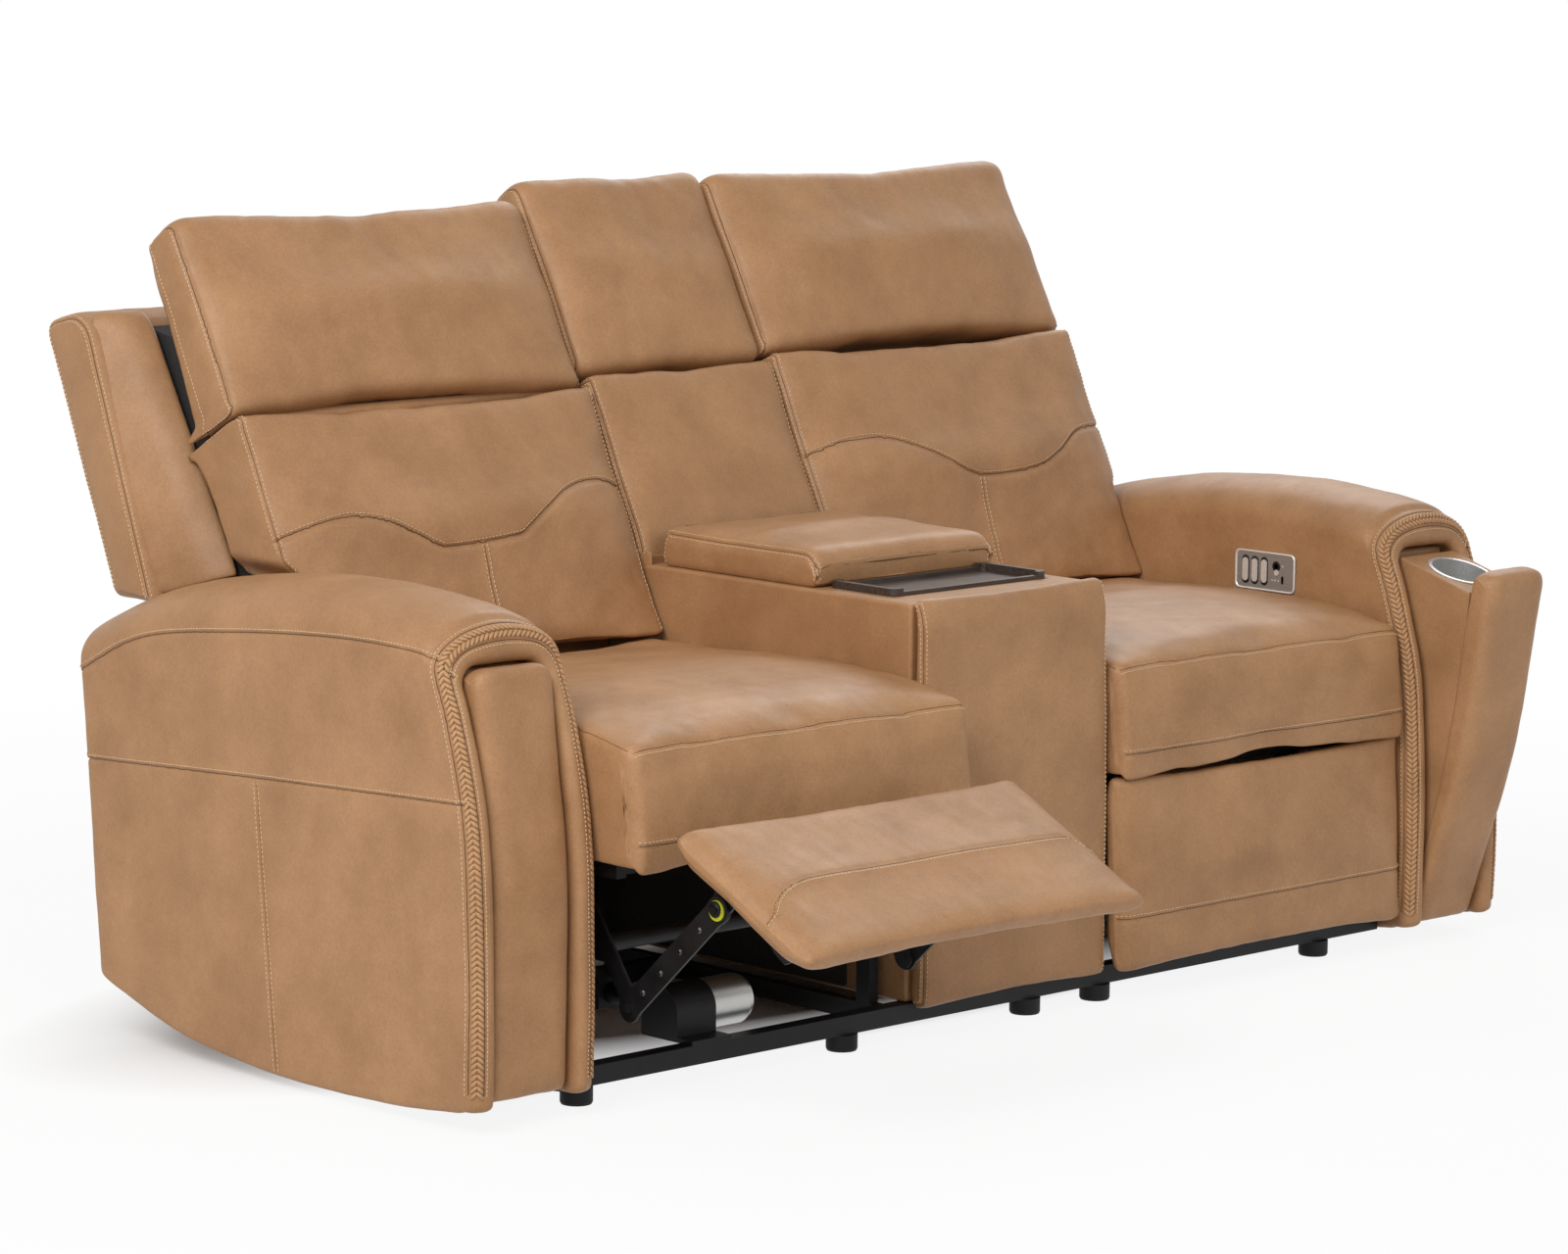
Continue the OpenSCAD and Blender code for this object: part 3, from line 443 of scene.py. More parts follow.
class Sewn:
    """A refined shape with grooves for its seams, dark lines of painted shade in them and stitches beside them.
    """

    def __init__(self, verts, faces):
        self.verts, self.faces = np.array(verts, float), faces
        self.stitches, self.seam_shade_lines = [], []
        self.update()

    def update(self):
        self.normals = vertex_normals(self.verts, self.faces)
        self.tree = BVHTree.FromPolygons(self.verts.tolist(), self.faces)

    def on_surface(self, path):
        """The shape's nearest points and its directions there, evened out."""
        found = [self.tree.find_nearest(Vector(p))[:2] for p in path]
        spots, ways = np.array([p for p, _ in found]), np.array([n for _, n in found])
        for _ in range(2):
            ways = rows_unit(np.vstack([ways[:1], (ways[:-2] + 2 * ways[1:-1] + ways[2:]), ways[-1:]]))
        return spots, ways

    def push(self, amount):
        self.verts = self.verts + self.normals * np.asarray(amount)[:, None]
        self.update()

    def seam(self, path, rows=(), depth=2.2, width=2.6, ridge=0.9, line=0.7):
        """A seam along path. Each row is a distance and a direction that the row lies towards. line is the radius
        of a dark line of painted shade laid in the groove.
        """
        spots, ways = self.on_surface(resample(path, 2.5))
        across = rows_unit(np.cross(ways, directions(spots)))
        signs = [(d, np.where(across @ np.asarray(toward, float) < 0, -1.0, 1.0)) for d, toward in rows]
        low, high = spots.min(axis=0) - SEAM_REACH, spots.max(axis=0) + SEAM_REACH
        near = np.where(((self.verts > low) & (self.verts < high)).all(axis=1))[0]
        for part in np.array_split(near, max(1, len(near) * len(spots) // PAIRS_AT_ONCE)):
            if not len(part):
                continue
            gap = self.verts[part][:, None, :] - spots[None, :, :]
            far = np.linalg.norm(gap, axis=2)
            best = far.argmin(axis=1)
            d = far[np.arange(len(part)), best]
            side = np.einsum("ij,ij->i", gap[np.arange(len(part)), best], across[best])
            move = -depth * np.exp(-(d / width) ** 2)
            for distance, sign in signs:
                same = sign[best] * side > 0
                move += same * ridge * np.exp(-((d - distance * 0.8) / 3.0) ** 2) * (d < 13)
            self.verts[part] += self.normals[part] * move[:, None]
        # A dark line of painted shade along the seam's groove
        if line:
            self.seam_shade_lines.append((spots, line))
        for distance, sign in signs:
            self.stitches.append((spots + across * (sign * distance)[:, None], STITCH_PITCH))

    def stitch_shapes(self, path, pitch):
        """Six-sided stitches whose ends go under the surface."""
        half, ring = pitch * 0.40, np.column_stack([np.cos(SIXTHS), np.sin(SIXTHS)])
        rings = [np.column_stack([np.full(6, k * half * 0.62), ring * 0.66]) for k in (-1, 1)]
        template = np.vstack([[[-half, 0, -0.4]], *rings, [[half, 0, -0.4]]])
        spots, ways = self.on_surface(resample(path, pitch))
        for p, t, n in zip(spots, directions(spots), ways):
            b = unit(np.cross(n, t))
            yield p + 0.3 * n + template @ np.array([t, b, unit(np.cross(t, b))]), STITCH_FACES

    def seam_shade_shape(self, path, radius):
        """A dark five-sided line, half sunk in the surface: painted shade in a seam's groove."""
        spots, ways = self.on_surface(path)
        spots = spots - 0.3 * radius * ways
        along = directions(spots)
        b = rows_unit(np.cross(ways, along))
        n = np.cross(along, b)
        rings = [spots + radius * (math.cos(a) * b + math.sin(a) * n) for a in np.arange(5) * 2 * math.pi / 5]
        m = len(spots)
        return np.vstack(rings), [(k * m + i, k * m + i + 1, q * m + i + 1, q * m + i)
                                  for k, q in ((0, 1), (1, 2), (2, 3), (3, 4), (4, 0)) for i in range(m - 1)]

    def thread_shape(self):
        """All stitches and dark lines of painted seam shade as one shape, with a material number for each face.
        """
        self.update()
        stitches = [shape for row in self.stitches for shape in self.stitch_shapes(*row)]
        seam_shade_lines = [self.seam_shade_shape(*row) for row in self.seam_shade_lines]
        if not stitches and not seam_shade_lines:
            return None, None
        marks = [mark for mark, shapes in enumerate((stitches, seam_shade_lines)) for _, faces in shapes for _ in faces]
        return joined(stitches + seam_shade_lines), marks


SEAM_REACH, PAIRS_AT_ONCE = 16, 4000000
SIXTHS = np.arange(6) * math.pi / 3
STITCH_FACES = [(0, 1 + (k + 1) % 6, 1 + k) for k in range(6)]
STITCH_FACES += [(1 + k, 1 + (k + 1) % 6, 7 + (k + 1) % 6, 7 + k) for k in range(6)]
STITCH_FACES += [(13, 7 + k, 7 + (k + 1) % 6) for k in range(6)]
STRIP, STRIP_PITCH, STRIP_SLANT = (6.2, 2.8, 1.9), 7.4, 0.72


def braid_shape(sewn, *paths):
    """Two rows of slanted strips that make a flat braid between two paths."""
    rings = []
    for v in np.linspace(-1, 1, 7):
        r = math.sqrt(max(0.02, 1 - v * v))
        rings.append(np.column_stack([np.full(6, v), r * np.cos(SIXTHS), r * np.sin(SIXTHS)]) * STRIP)
    template, links = stack(rings)
    shapes = []
    for path, slant in zip(paths, (STRIP_SLANT, -STRIP_SLANT)):
        spots, ways = sewn.on_surface(resample(path, STRIP_PITCH))
        for p, t, n in zip(spots, directions(spots), ways):
            w = math.cos(slant) * t + math.sin(slant) * unit(np.cross(n, t))
            shapes.append((p + 0.9 * n + template @ np.array([w, unit(np.cross(n, w)), n]), links))
    return joined(shapes)


# Materials


class Tree:
    """A node tree. add() makes a node and returns one of its outputs."""

    def __init__(self, owner):
        owner.use_nodes = True
        self.nodes, self.links = owner.node_tree.nodes, owner.node_tree.links

    def put(self, socket, value):
        if isinstance(value, bpy.types.NodeSocket):
            self.links.new(value, socket)
        else:
            socket.default_value = value

    def add(self, kind, output, inputs, **settings):
        node = self.nodes.new(kind)
        for name, value in settings.items():
            setattr(node, name, value)
        for name, value in inputs.items():
            self.put(node.inputs[name], value)
        return node.outputs[output]

    def math(self, operation, a, b):
        return self.add("ShaderNodeMath", 0, {0: a, 1: b}, operation=operation)


class Look(Tree):
    """A material's node tree, laid out from the object's own coordinates."""

    def __init__(self, name):
        self.material = bpy.data.materials.new(name)
        super().__init__(self.material)
        self.where = self.add("ShaderNodeTexCoord", "Object", {})

    def stretched(self, scale):
        return self.add("ShaderNodeMapping", "Vector", {"Scale": scale, "Vector": self.where})

    def noise(self, scale, detail=3.0, roughness=0.5, where=None):
        return self.add("ShaderNodeTexNoise", "Fac", {
            "Scale": scale, "Detail": detail, "Roughness": roughness, "Vector": where or self.where})

    def ramp(self, value, *stops):
        node = self.nodes.new("ShaderNodeValToRGB")
        elements = node.color_ramp.elements
        while len(elements) < len(stops):
            elements.new(0.5)
        for element, (spot, colour) in zip(elements, stops):
            element.position = spot
            element.color = (*colour, 1)
        self.put(node.inputs["Fac"], value)
        return node.outputs["Color"]

    def span(self, value, low, high):
        return self.add("ShaderNodeMapRange", "Result", {"To Min": low, "To Max": high, "Value": value})

    def bump(self, height, distance, strength=1.0, **under):
        return self.add("ShaderNodeBump", "Normal", {
            "Distance": distance, "Strength": strength, "Height": height, **under})

    def finish(self, inputs):
        for name, value in inputs.items():
            self.put(self.nodes["Principled BSDF"].inputs[name], value)
        return self.material


def leather(name, light=(0.458, 0.246, 0.115), dark=(0.330, 0.169, 0.074)):
    """Full-grain leather: cloudy colour, fine pebbles and a few wrinkles."""
    look = Look(name)
    middle = tuple((a + b) / 2 for a, b in zip(light, dark))
    colour = look.ramp(look.noise(9.0, 8, 0.66), (0.30, dark), (0.5, middle), (0.70, light))
    tint = look.ramp(look.noise(260, 2), (0.35, (0.86, 0.86, 0.86)), (0.65, (1.06, 1.06, 1.06)))
    colour = look.add("ShaderNodeMix", "Result", {"Factor": 0.55, "A": colour, "B": tint},
                      data_type="RGBA", blend_type="MULTIPLY")
    pebbles = look.add("ShaderNodeTexVoronoi", "Distance", {"Scale": 620, "Vector": look.where})
    fine = look.bump(pebbles, 0.00035, 0.35)
    return look.finish({
        "Base Color": colour, "Normal": look.bump(look.noise(75, 4, 0.6), 0.0011, 0.30, Normal=fine),
        "Roughness": look.span(look.noise(38, 3), 0.40, 0.56), "Specular IOR Level": 0.36})


def thread():
    look = Look("thread")
    twist = look.noise(900, 2)
    colour = look.ramp(twist, (0.3, (0.56, 0.37, 0.21)), (0.7, (0.78, 0.56, 0.35)))
    return look.finish({"Base Color": colour, "Normal": look.bump(twist, 0.0003, 0.5), "Roughness": 0.75})


# Very dark brown for the lines in the seams' grooves: painted shade where the seams fold in
def painted_seam_shade():
    look = Look("painted_seam_shade")
    colour = look.ramp(look.noise(120, 2), (0.3, (0.085, 0.042, 0.018)), (0.7, (0.15, 0.078, 0.036)))
    return look.finish({"Base Color": colour, "Roughness": 0.85})


def painted(name, low, high, rough=(0.32, 0.55), bump=0.0002, metallic=0.0):
    """Powder-coated steel or moulded plastic."""
    look = Look(name)
    clouds = look.noise(30, 4)
    return look.finish({
        "Base Color": look.ramp(clouds, (0.3, low), (0.7, high)),
        "Normal": look.bump(look.noise(700, 2), bump, 0.6), "Roughness": look.span(clouds, *rough),
        "Metallic": metallic, "Specular IOR Level": 0.25})


def brushed(name, colour, stretch, rough=(0.22, 0.42), metallic=1.0):
    """Brushed metal with fine lines across the stretched axes."""
    look = Look(name)
    lines = look.noise(60, 3, where=look.stretched(stretch))
    darker = tuple(c * 0.8 for c in colour)
    return look.finish({
        "Base Color": look.ramp(lines, (0.3, darker), (0.7, colour)),
        "Normal": look.bump(lines, 0.0001, 0.5), "Roughness": look.span(lines, *rough), "Metallic": metallic})


def wood(name):
    look = Look(name)
    grain = look.noise(7, 6, 0.65, look.stretched((2.0, 30.0, 30.0)))
    colour = look.ramp(grain, (0.3, (0.022, 0.015, 0.012)), (0.7, (0.075, 0.052, 0.042)))
    return look.finish({"Base Color": colour, "Normal": look.bump(grain, 0.0004, 0.5),
                        "Roughness": look.span(grain, 0.30, 0.48)})


def woven(name, low, high):
    look = Look(name)
    wave = look.add("ShaderNodeTexWave", "Fac", {"Scale": 140.0, "Distortion": 1.5, "Vector": look.where})
    return look.finish({"Base Color": look.ramp(wave, (0.2, low), (0.8, high)),
                        "Normal": look.bump(wave, 0.0004, 0.8), "Roughness": 0.95})


LEATHER = leather("leather")
OUTER = leather("outer_leather", (0.435, 0.234, 0.111), (0.318, 0.165, 0.073))
BRAID = leather("braid_leather", (0.53, 0.300, 0.147), (0.435, 0.240, 0.113))
THREAD, SEAM_SHADE = thread(), painted_seam_shade()
BLACK = painted("black_steel", (0.004, 0.004, 0.0045), (0.011, 0.011, 0.012), (0.36, 0.55))
PLASTIC = painted("black_plastic", (0.006, 0.006, 0.0065), (0.016, 0.016, 0.016), (0.5, 0.7))
YELLOW = painted("yellow_bushing", (0.50, 0.52, 0.02), (0.64, 0.68, 0.04), (0.4, 0.55))
CLOTH = woven("black_fabric", (0.006, 0.006, 0.006), (0.022, 0.020, 0.018))
PLATE = brushed("plate_metal", (0.40, 0.37, 0.345), (1.0, 1.0, 40.0), (0.36, 0.52), 0.55)
BUTTON = brushed("button_metal", (0.90, 0.88, 0.85), (1.0, 8.0, 8.0), (0.26, 0.38), 0.45)
CUP = brushed("cup_steel", (0.74, 0.74, 0.73), (4.0, 4.0, 60.0), (0.24, 0.42), 0.8)
MOTOR = brushed("motor_metal", (0.60, 0.60, 0.58), (60.0, 4.0, 4.0), (0.28, 0.45))
WALNUT = wood("tray_wood")
STEEL = painted("rivet_steel", (0.05, 0.05, 0.05), (0.12, 0.12, 0.12), (0.3, 0.45), 0.0001, 0.9)
SLOT_MATERIAL = {
    "leather": LEATHER, "outer_leather": OUTER, "black_steel": BLACK, "black_fabric": CLOTH,
    "foot_plastic": PLASTIC, "motor_metal": MOTOR, "plate_metal": PLATE, "button_metal": BUTTON,
    "cup_steel": CUP, "bushing": YELLOW, "tray_wood": WALNUT,
}

for row in frame["record"]["subparts"]:
    node = frame["nodes"][row["node"]]
    node.data.materials.clear()
    node.data.materials.append(SLOT_MATERIAL[row["material_slot"]])


# Pieces

def mirrored(verts, faces):
    return np.array(verts, float) * [-1, 1, 1], [tuple(reversed(f)) for f in faces]


def add_piece(name, shape, body, slot, node=None, move=None, mirror=False, material=None, marks=None,
              smooth=True, fill=None):
    """Adds a shape, mirrored if asked and then put where it belongs by move()."""
    verts, faces = mirrored(*shape) if mirror else shape
    mesh = bpy.data.meshes.new(name)
    mesh.from_pydata(place(move(verts) if move else verts).tolist(), [], faces)
    for each in material or [SLOT_MATERIAL[slot]]:
        mesh.materials.append(each)
    if marks is not None:
        mesh.polygons.foreach_set("material_index", marks)
    mesh.polygons.foreach_set("use_smooth", [smooth] * len(mesh.polygons))
    mesh.update()
    obj = bpy.data.objects.new(name, mesh)
    bpy.context.scene.collection.objects.link(obj)
    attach(obj, body)
    if node:
        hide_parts(node)


def add_sewn(name, sewn, body, node, slot="leather", fill=None, **put):
    """Adds a sewn shape and its sewing."""
    add_piece(name, (sewn.verts, sewn.faces), body, slot, node, fill=fill, **put)
    threads, marks = sewn.thread_shape()
    if marks:
        # The sewing holds the stitches and the dark lines of painted seam shade
        add_piece(name + "_sewing", threads, body, slot, material=[THREAD, SEAM_SHADE], marks=marks, **put)


def shift(x=0.0, y=0.0, z=0.0):
    return lambda p: p + np.array([x, y, z])


def in_seat(side, slide=0.0):
    return shift(SIDES[side] * UNIT_X, -slide)


def swollen(pad, limit):
    """A pad's mesh after the simulation, refined, with its sides held to the pad's width."""
    verts, faces = pad.mesh()
    folds = np.where(np.abs(np.abs(verts[:, 0]) - pad.half) < 0.5)[0]
    verts, faces = inflate(verts, faces, limit, folds)
    side = pad.half + pad.bulge
    verts[:, 0] = np.clip(verts[:, 0], -side, side)
    return refine(verts, faces)


def sew(verts, faces, seed, rough):
    """A sewn shape whose surface is a little uneven."""
    sewn = Sewn(verts, faces)
    sewn.push(rough * (ripple(sewn.verts, 130, seed) + 0.35 * ripple(sewn.verts, 34, seed + 1)))
    return sewn


def fold_seams(sewn, pad, keep, rows=(1, -1), off=4.6, **style):
    """Seams on a pad's folds. Row 1 lies on the side, row -1 on the outline."""
    for side in SIDES.values():
        sewn.seam(pad.fold(side, keep), [(off, (side * row, 0, 0)) for row in rows], **style)


def across(half, y, z, count=80):
    """A line along X from -half to half. y and z are numbers or functions of x / half."""
    s = np.linspace(-1, 1, count)
    return np.column_stack([s * half, *(v(s) if callable(v) else np.full(count, v) for v in (y, z))])


# Seats

DECK_Z, SEAT_TOP, SEAT_REAR = 313.7, 479.0, 572.0
CROWN_TOP, PLAN_ROUND = 516.0, 14.0


def add_seats():
    low = DECK_Z + SOFT_GAP
    pad = Pad(SEAT_W - 4, [(SEAT_REAR, SEAT_TOP + 5, 24), (210, SEAT_TOP + 17, 90), (34, SEAT_TOP + 9, 54),
                           (-42, SEAT_TOP - 10, 18), (-55, 345, 20), (-54, low + 3, 6), (SEAT_REAR, low, 20)],
              16, unit((-0.35, 0.94)), edge=20, drawn=11, power=2,
              hold=lambda out: smooth_step(0.35 + out[:, 1]) * 0.75 + 0.25)
    base, faces = swollen(pad, 20)
    base[:, 2] = np.clip(base[:, 2], low, CROWN_TOP)
    beyond = np.clip(np.abs(base[:, 0]) - (pad.half - PLAN_ROUND), 0, PLAN_ROUND)
    base[:, 1] += (PLAN_ROUND - np.sqrt(PLAN_ROUND ** 2 - beyond ** 2)) * smooth_step((20 - base[:, 1]) / 70)
    base[:, 2] -= 9 * smooth_step((-42 - base[:, 1]) / 9) * smooth_step((336 - base[:, 2]) / 16)
    half = pad.half - 1
    for side in SIDES:
        sewn = sew(base, faces, 11 if side == "left" else 17, 1.1)
        sewn.seam(across(half, -42.0, lambda s: 471 - 6.0 * s ** 4), depth=1.8, width=2.2, line=0.55)
        sewn.stitches.append((across(half, -46.0, lambda s: 465.5 - 6.0 * s ** 4), 4.6))
        sewn.seam(across(half, -54.0, 346.0), [(5.0, (0, 0, 1))], depth=2.4, width=2.4, ridge=1.7)
        for k in (-1, 1):
            path = [[k * half, y, z] for y, z in ((-30, 464), (40, 478), (240, 488), (540, 480))]
            sewn.seam(path, depth=1.3, width=2.2, line=0.5)
        add_sewn(side + "_seat_leather", sewn, side + "_carriage", side + "_seat_cushion", fill=0.8,
                 move=in_seat(side, SLIDE[side]))


# Backs

BACK_T = 84.0
HEAD_LOW, HEAD_LEN, HEAD_T, HEAD_OUT = 203.0, 311.0, 76.0, 20.0
HEAD_SHARE = {"left": 0.96, "right": 0.945}
GROOVE_LIFT = {"left": 0.0, "right": 30.0, "console": 20.0}
BACK_END, HEAD_START = 201.5, 202.5
BACK_W, BOXING = SEAT_W - 3 + HEAD_OUT, 58


def back_corners(low, t=BACK_T):
    side_z = BACK_FOOT[1] + t * math.sin(BACK_LEAN)
    front_low = back_at((low - side_z) / math.cos(BACK_LEAN), -t)
    rear_low = back_at((low - BACK_FOOT[1]) / math.cos(BACK_LEAN), -SOFT_GAP)
    return [on_back(197, -SOFT_GAP, 8), on_back(201, -t - 8, 15), on_back(150, -t - 9, 28),
            on_back(64, -t - 5, 40), on_back(-50, -t - 5, 40), (front_low[0], low, 11),
            (rear_low[0], low, 5)]


def head_corners(t=HEAD_T):
    top = HEAD_LOW + HEAD_LEN
    return [on_back(top - 14, -SOFT_GAP, 20), on_back(top, -t, 40), on_back(HEAD_LOW + 110, -t - 5, 50),
            on_back(HEAD_LOW, -t - 4, 26), on_back(HEAD_LOW, -SOFT_GAP, 6)]


def held(verts, low=None, high=None):
    """Flattens a cushion where it meets the one above or below it."""
    up = up_of(verts)
    clipped = np.clip(up, low, high)
    return verts + np.outer(clipped - up, [0, *BACK_UP])


def boxed(verts):
    """Draws the outer side's boxing back past the frame's side."""
    outer = smooth_step((10 - BACK_W / 2 - verts[:, 0]) / 8)
    below_top = smooth_step((HEAD_LOW + HEAD_LEN + 4 - up_of(verts)) / 90)
    above_arm = smooth_step((verts[:, 2] - 600) / 24)
    rear = smooth_step((34 - deep_of(verts)) / 34)
    return verts - np.outer(BOXING * outer * below_top * above_arm * rear, [0, *BACK_OUT])


def taller(points, share, lift=0.0):
    """Scales a headrest's height above its lower edge and lifts it."""
    return points + np.outer((share - 1) * np.maximum(0, up_of(points) - HEAD_LOW) + lift, [0, *BACK_UP])


def raised(points, lift):
    """Stretches a back cushion so that its upper edge rises by lift."""
    return points + np.outer(lift * np.clip((up_of(points) + 40) / 240, 0, 1), [0, *BACK_UP])


def deep_of(points):
    """How far in front of the back's plane each point lies."""
    return (points[:, 1:] - BACK_FOOT) @ BACK_OUT


def up_of(points):
    return (points[:, 1:] - BACK_FOOT) @ BACK_UP


def wave_line(left, right, side):
    """The curved seam across a back, as (x, z) points seen from the front."""
    if side == "right":
        return spline([(left + 1, 709), (-235, 697), (-180, 670), (-124, 651), (-41, 645.5), (22, 652), (84, 684),
                       (154, 711), (223, 715), (right - 1, 706)], 5)
    return spline([(left + 1, 666), (-226, 677), (-190, 674), (-155, 665), (-110, 645), (-78, 631), (-62, 628),
                   (0, 629), (64, 633), (82, 640), (120, 660), (175, 686), (229, 696), (right - 1, 690)], 5)


def on_front(sewn, line):
    """Puts a line of (x, z) points on the front of a cushion on the back's plane."""
    path = []
    for x, z in line:
        y, top = back_at((z - 644) / math.cos(BACK_LEAN), -400)
        spot = sewn.tree.ray_cast(Vector((x, y, top)), Vector((0, *-BACK_OUT)))[0]
        if spot is not None and deep_of(np.array([spot]))[0] > 40:
            path.append(spot)
    return np.array(path)


def add_backs():
    low, arm_line = SEAT_TOP + 8, 618.0
    pad = Pad(BACK_W, back_corners(low, BACK_T + 4), 34, BACK_OUT, edge=20, drawn=12, step=6.5,
              hold=lambda out: 1 - 0.8 * smooth_step(out @ BACK_UP))
    base, faces = swollen(pad, 22)
    base = boxed(held(base, high=BACK_END))
    edge = 1.5 - (SEAT_W - 3) / 2
    left, right = -pad.half - HEAD_OUT / 2, pad.half - HEAD_OUT / 2

    def trimmed(v):
        """Beyond the seat's edge the cushion ends above the arm."""
        v = v - np.array([HEAD_OUT / 2, 0, 0])
        narrow = smooth_step((arm_line + 16 - v[:, 2]) / 26)
        v[:, 0] = np.where(v[:, 0] < edge, v[:, 0] + (edge - v[:, 0]) * narrow, v[:, 0])
        return v

    flap = prism(SEAT_W - 16, [(577, 440, 2), (583, 440, 2), (596, 520, 2), (590, 520, 2)], 1.5)
    for side in SIDES:
        lift = GROOVE_LIFT[side]
        sewn = sew(raised(trimmed(base), lift), faces, 23 if side == "left" else 29, 1.2)
        wave = on_front(sewn, wave_line(left, right, side))
        start = 625 if side == "left" else 642
        drop = on_front(sewn, [(0, z) for z in np.linspace(start, 505, 24)])
        sewn.seam(wave, [(5.0, (0, 0, 1))], depth=4.0, width=4.5, ridge=1.5, line=0.8)
        sewn.seam(drop, [(4.0, (1, 0, 0)), (4.0, (-1, 0, 0))], depth=1.6, width=2.2, ridge=1.2, line=0.5)
        for k in (-1, 1):
            for row, above in ((-k, low + 8), (k, arm_line + 26 if k < 0 else low + 8)):
                ring = raised(trimmed(pad.fold(k, lambda p: (deep_of(p) > 14) & (p[:, 2] > above))), lift)
                sewn.seam(ring, [(4.6, (row, 0, 0))], depth=0.8, ridge=0.7, line=0.6 if row == -k else 0)
        add_sewn(side + "_back_leather", sewn, side + "_back", side + "_back_cushion", fill=0.75,
                 move=in_seat(side), mirror=side == "right")
        add_piece(side + "_back_flap", flap, side + "_back", "leather", move=in_seat(side))


def head_seams(sewn, pad):
    fold_seams(sewn, pad, lambda p: deep_of(p) > 8, rows=(1,), depth=2.4, ridge=0.5, off=4.2, line=0.8)
    for side in (-1, 1):
        rear = pad.fold(side, lambda p: deep_of(p) < 6)
        sewn.stitches.append((rear + [side * 0.8, *(7 * BACK_OUT)], 6.0))


def add_headrests():
    pad = Pad(BACK_W, head_corners(HEAD_T + 7), 38, BACK_OUT, edge=30, drawn=17, power=3, bulge=4,
              step=8, hold=lambda out: 1 - 0.8 * smooth_step(-(out @ BACK_UP)))
    base, faces = swollen(pad, 24)
    base = boxed(held(base, low=HEAD_START))
    off = np.array([HEAD_OUT / 2, 0, 0])
    pin = back_at(204, -60)
    for side in SIDES:
        sewn = sew(base, faces, 31 if side == "left" else 37, 1.0)
        head_seams(sewn, pad)
        sewn.verts = sewn.verts - off
        for rows in (sewn.stitches, sewn.seam_shade_lines):
            rows[:] = [(path - off, value) for path, value in rows]
        share, put = HEAD_SHARE[side], in_seat(side)
        add_sewn(side + "_headrest_leather", sewn, side + "_headrest", side + "_headrest_cushion", fill=0.85,
                 move=lambda p: put(taller(p, share, GROOVE_LIFT[side])), mirror=side == "right")
        add_piece(side + "_groove_roll", rod(9.5, (-280, *pin), (280, *pin), 20), side + "_back", "leather",
                  move=put)


# Outer backs

SHELL_TOP, WING_W, BACK_HALF, WING_COLS = 941.0, 82.0, SEAT_W / 2 - 2, 48


def shell_front(z):
    return 737 + (z - 562) * 0.375


def shell_rear(z):
    return 823 + (z - 562) * 0.431


def wing_shape():
    """The pad on a wing's front, in rings from its foot up."""
    rings = []
    for z, inset in ((602, 9), (603.5, 4), (608, 1), *((z, 0) for z in np.linspace(620, 905, 30)),
                     (922, 2), (932, 7), (936, 14)):
        front = min(646 + (z - 600) * 0.576, shell_front(z) - 8) + inset
        rear = shell_front(z) + 8
        section = rounded([(-254, rear, 2), (-254, front, 13), (-292, front + (rear - front) * 0.28, 20),
                           (-330 + inset, rear, 2)])
        section = looped(resample(section, 1.0, closed=True))
        section = at_lengths(section, np.linspace(0, lengths(section)[-1], WING_COLS + 1)[:-1])
        slope = 0.34 * max(0, 1 - (z - 602) / 90)
        rings.append(np.column_stack([section, z - (section[:, 1] - front) * slope]))
    return refine(*loft(rings, ((0, (0, 0, -1)), (1, (0, 0, 1))), 6))


def add_shells():
    low, high = 562.0, SHELL_TOP
    pad = Pad(2 * BACK_HALF + WING_W,
              [(shell_rear(low), low, 4), (shell_rear(high - 22), high - 22, 30),
               (shell_front(high) + 20, high, 26), (shell_front(high - 24), high - 24, 16),
               (shell_front(low), low, 4)], 5, unit((1, -0.4)), edge=16, drawn=11)
    base, faces = refine(*pad.mesh())
    skirt = refine(*prism(2 * BACK_HALF, [
        (shell_front(425), 425, 3), (shell_rear(425), 425, 6), (shell_rear(574), 574, 3),
        (shell_front(574), 574, 3)], 5))
    wing = wing_shape()
    for side in SIDES:
        body, beside = side + "_back", shift(SIDES[side] * (UNIT_X + WING_W / 2))
        sewn = sew(base, faces, 41 if side == "left" else 43, 0.9)
        fold_seams(sewn, pad, lambda p: p[:, 2] > low + 6, depth=1.8, ridge=0.8)
        for x in (-150.0, 150.0):
            path = [[x, shell_rear(z) + 20, z] for z in (low + 12, 700, 800, high - 30)]
            sewn.seam(path, [(4.5, (1, 0, 0))], depth=1.6, ridge=0.7)
        add_sewn(side + "_outer_back", sewn, body, side + "_back_shell", "outer_leather", move=beside,
                 mirror=side == "right")
        add_piece(side + "_wing_pad", wing, body, "outer_leather", move=beside, mirror=side == "right")
        add_piece(side + "_outer_back_skirt", skirt, body, "outer_leather", move=in_seat(side))


# Footrests

PAD_LEN, PAD_T, PAD_W = 268.0, 44.0, SEAT_W - 6
FOOT_LEAN = math.radians(3.4)
PAD_DIR = np.array([-math.sin(FOOT_LEAN), -math.cos(FOOT_LEAN)])
PAD_BACK = np.array([math.cos(FOOT_LEAN), -math.sin(FOOT_LEAN)])
HIP = np.array([122.0, 274.0])


def turned(length, degrees):
    a = math.radians(degrees)
    return length * np.array([math.cos(a), math.sin(a)])


def knee(e):
    """Where the swing link ends when the seat is e forward of its closed place."""
    return HIP + turned(180, -58.9 - 0.888 * e)


def ankle(e):
    return knee(e) + turned(217, 144.8 - 0.1013 * e)


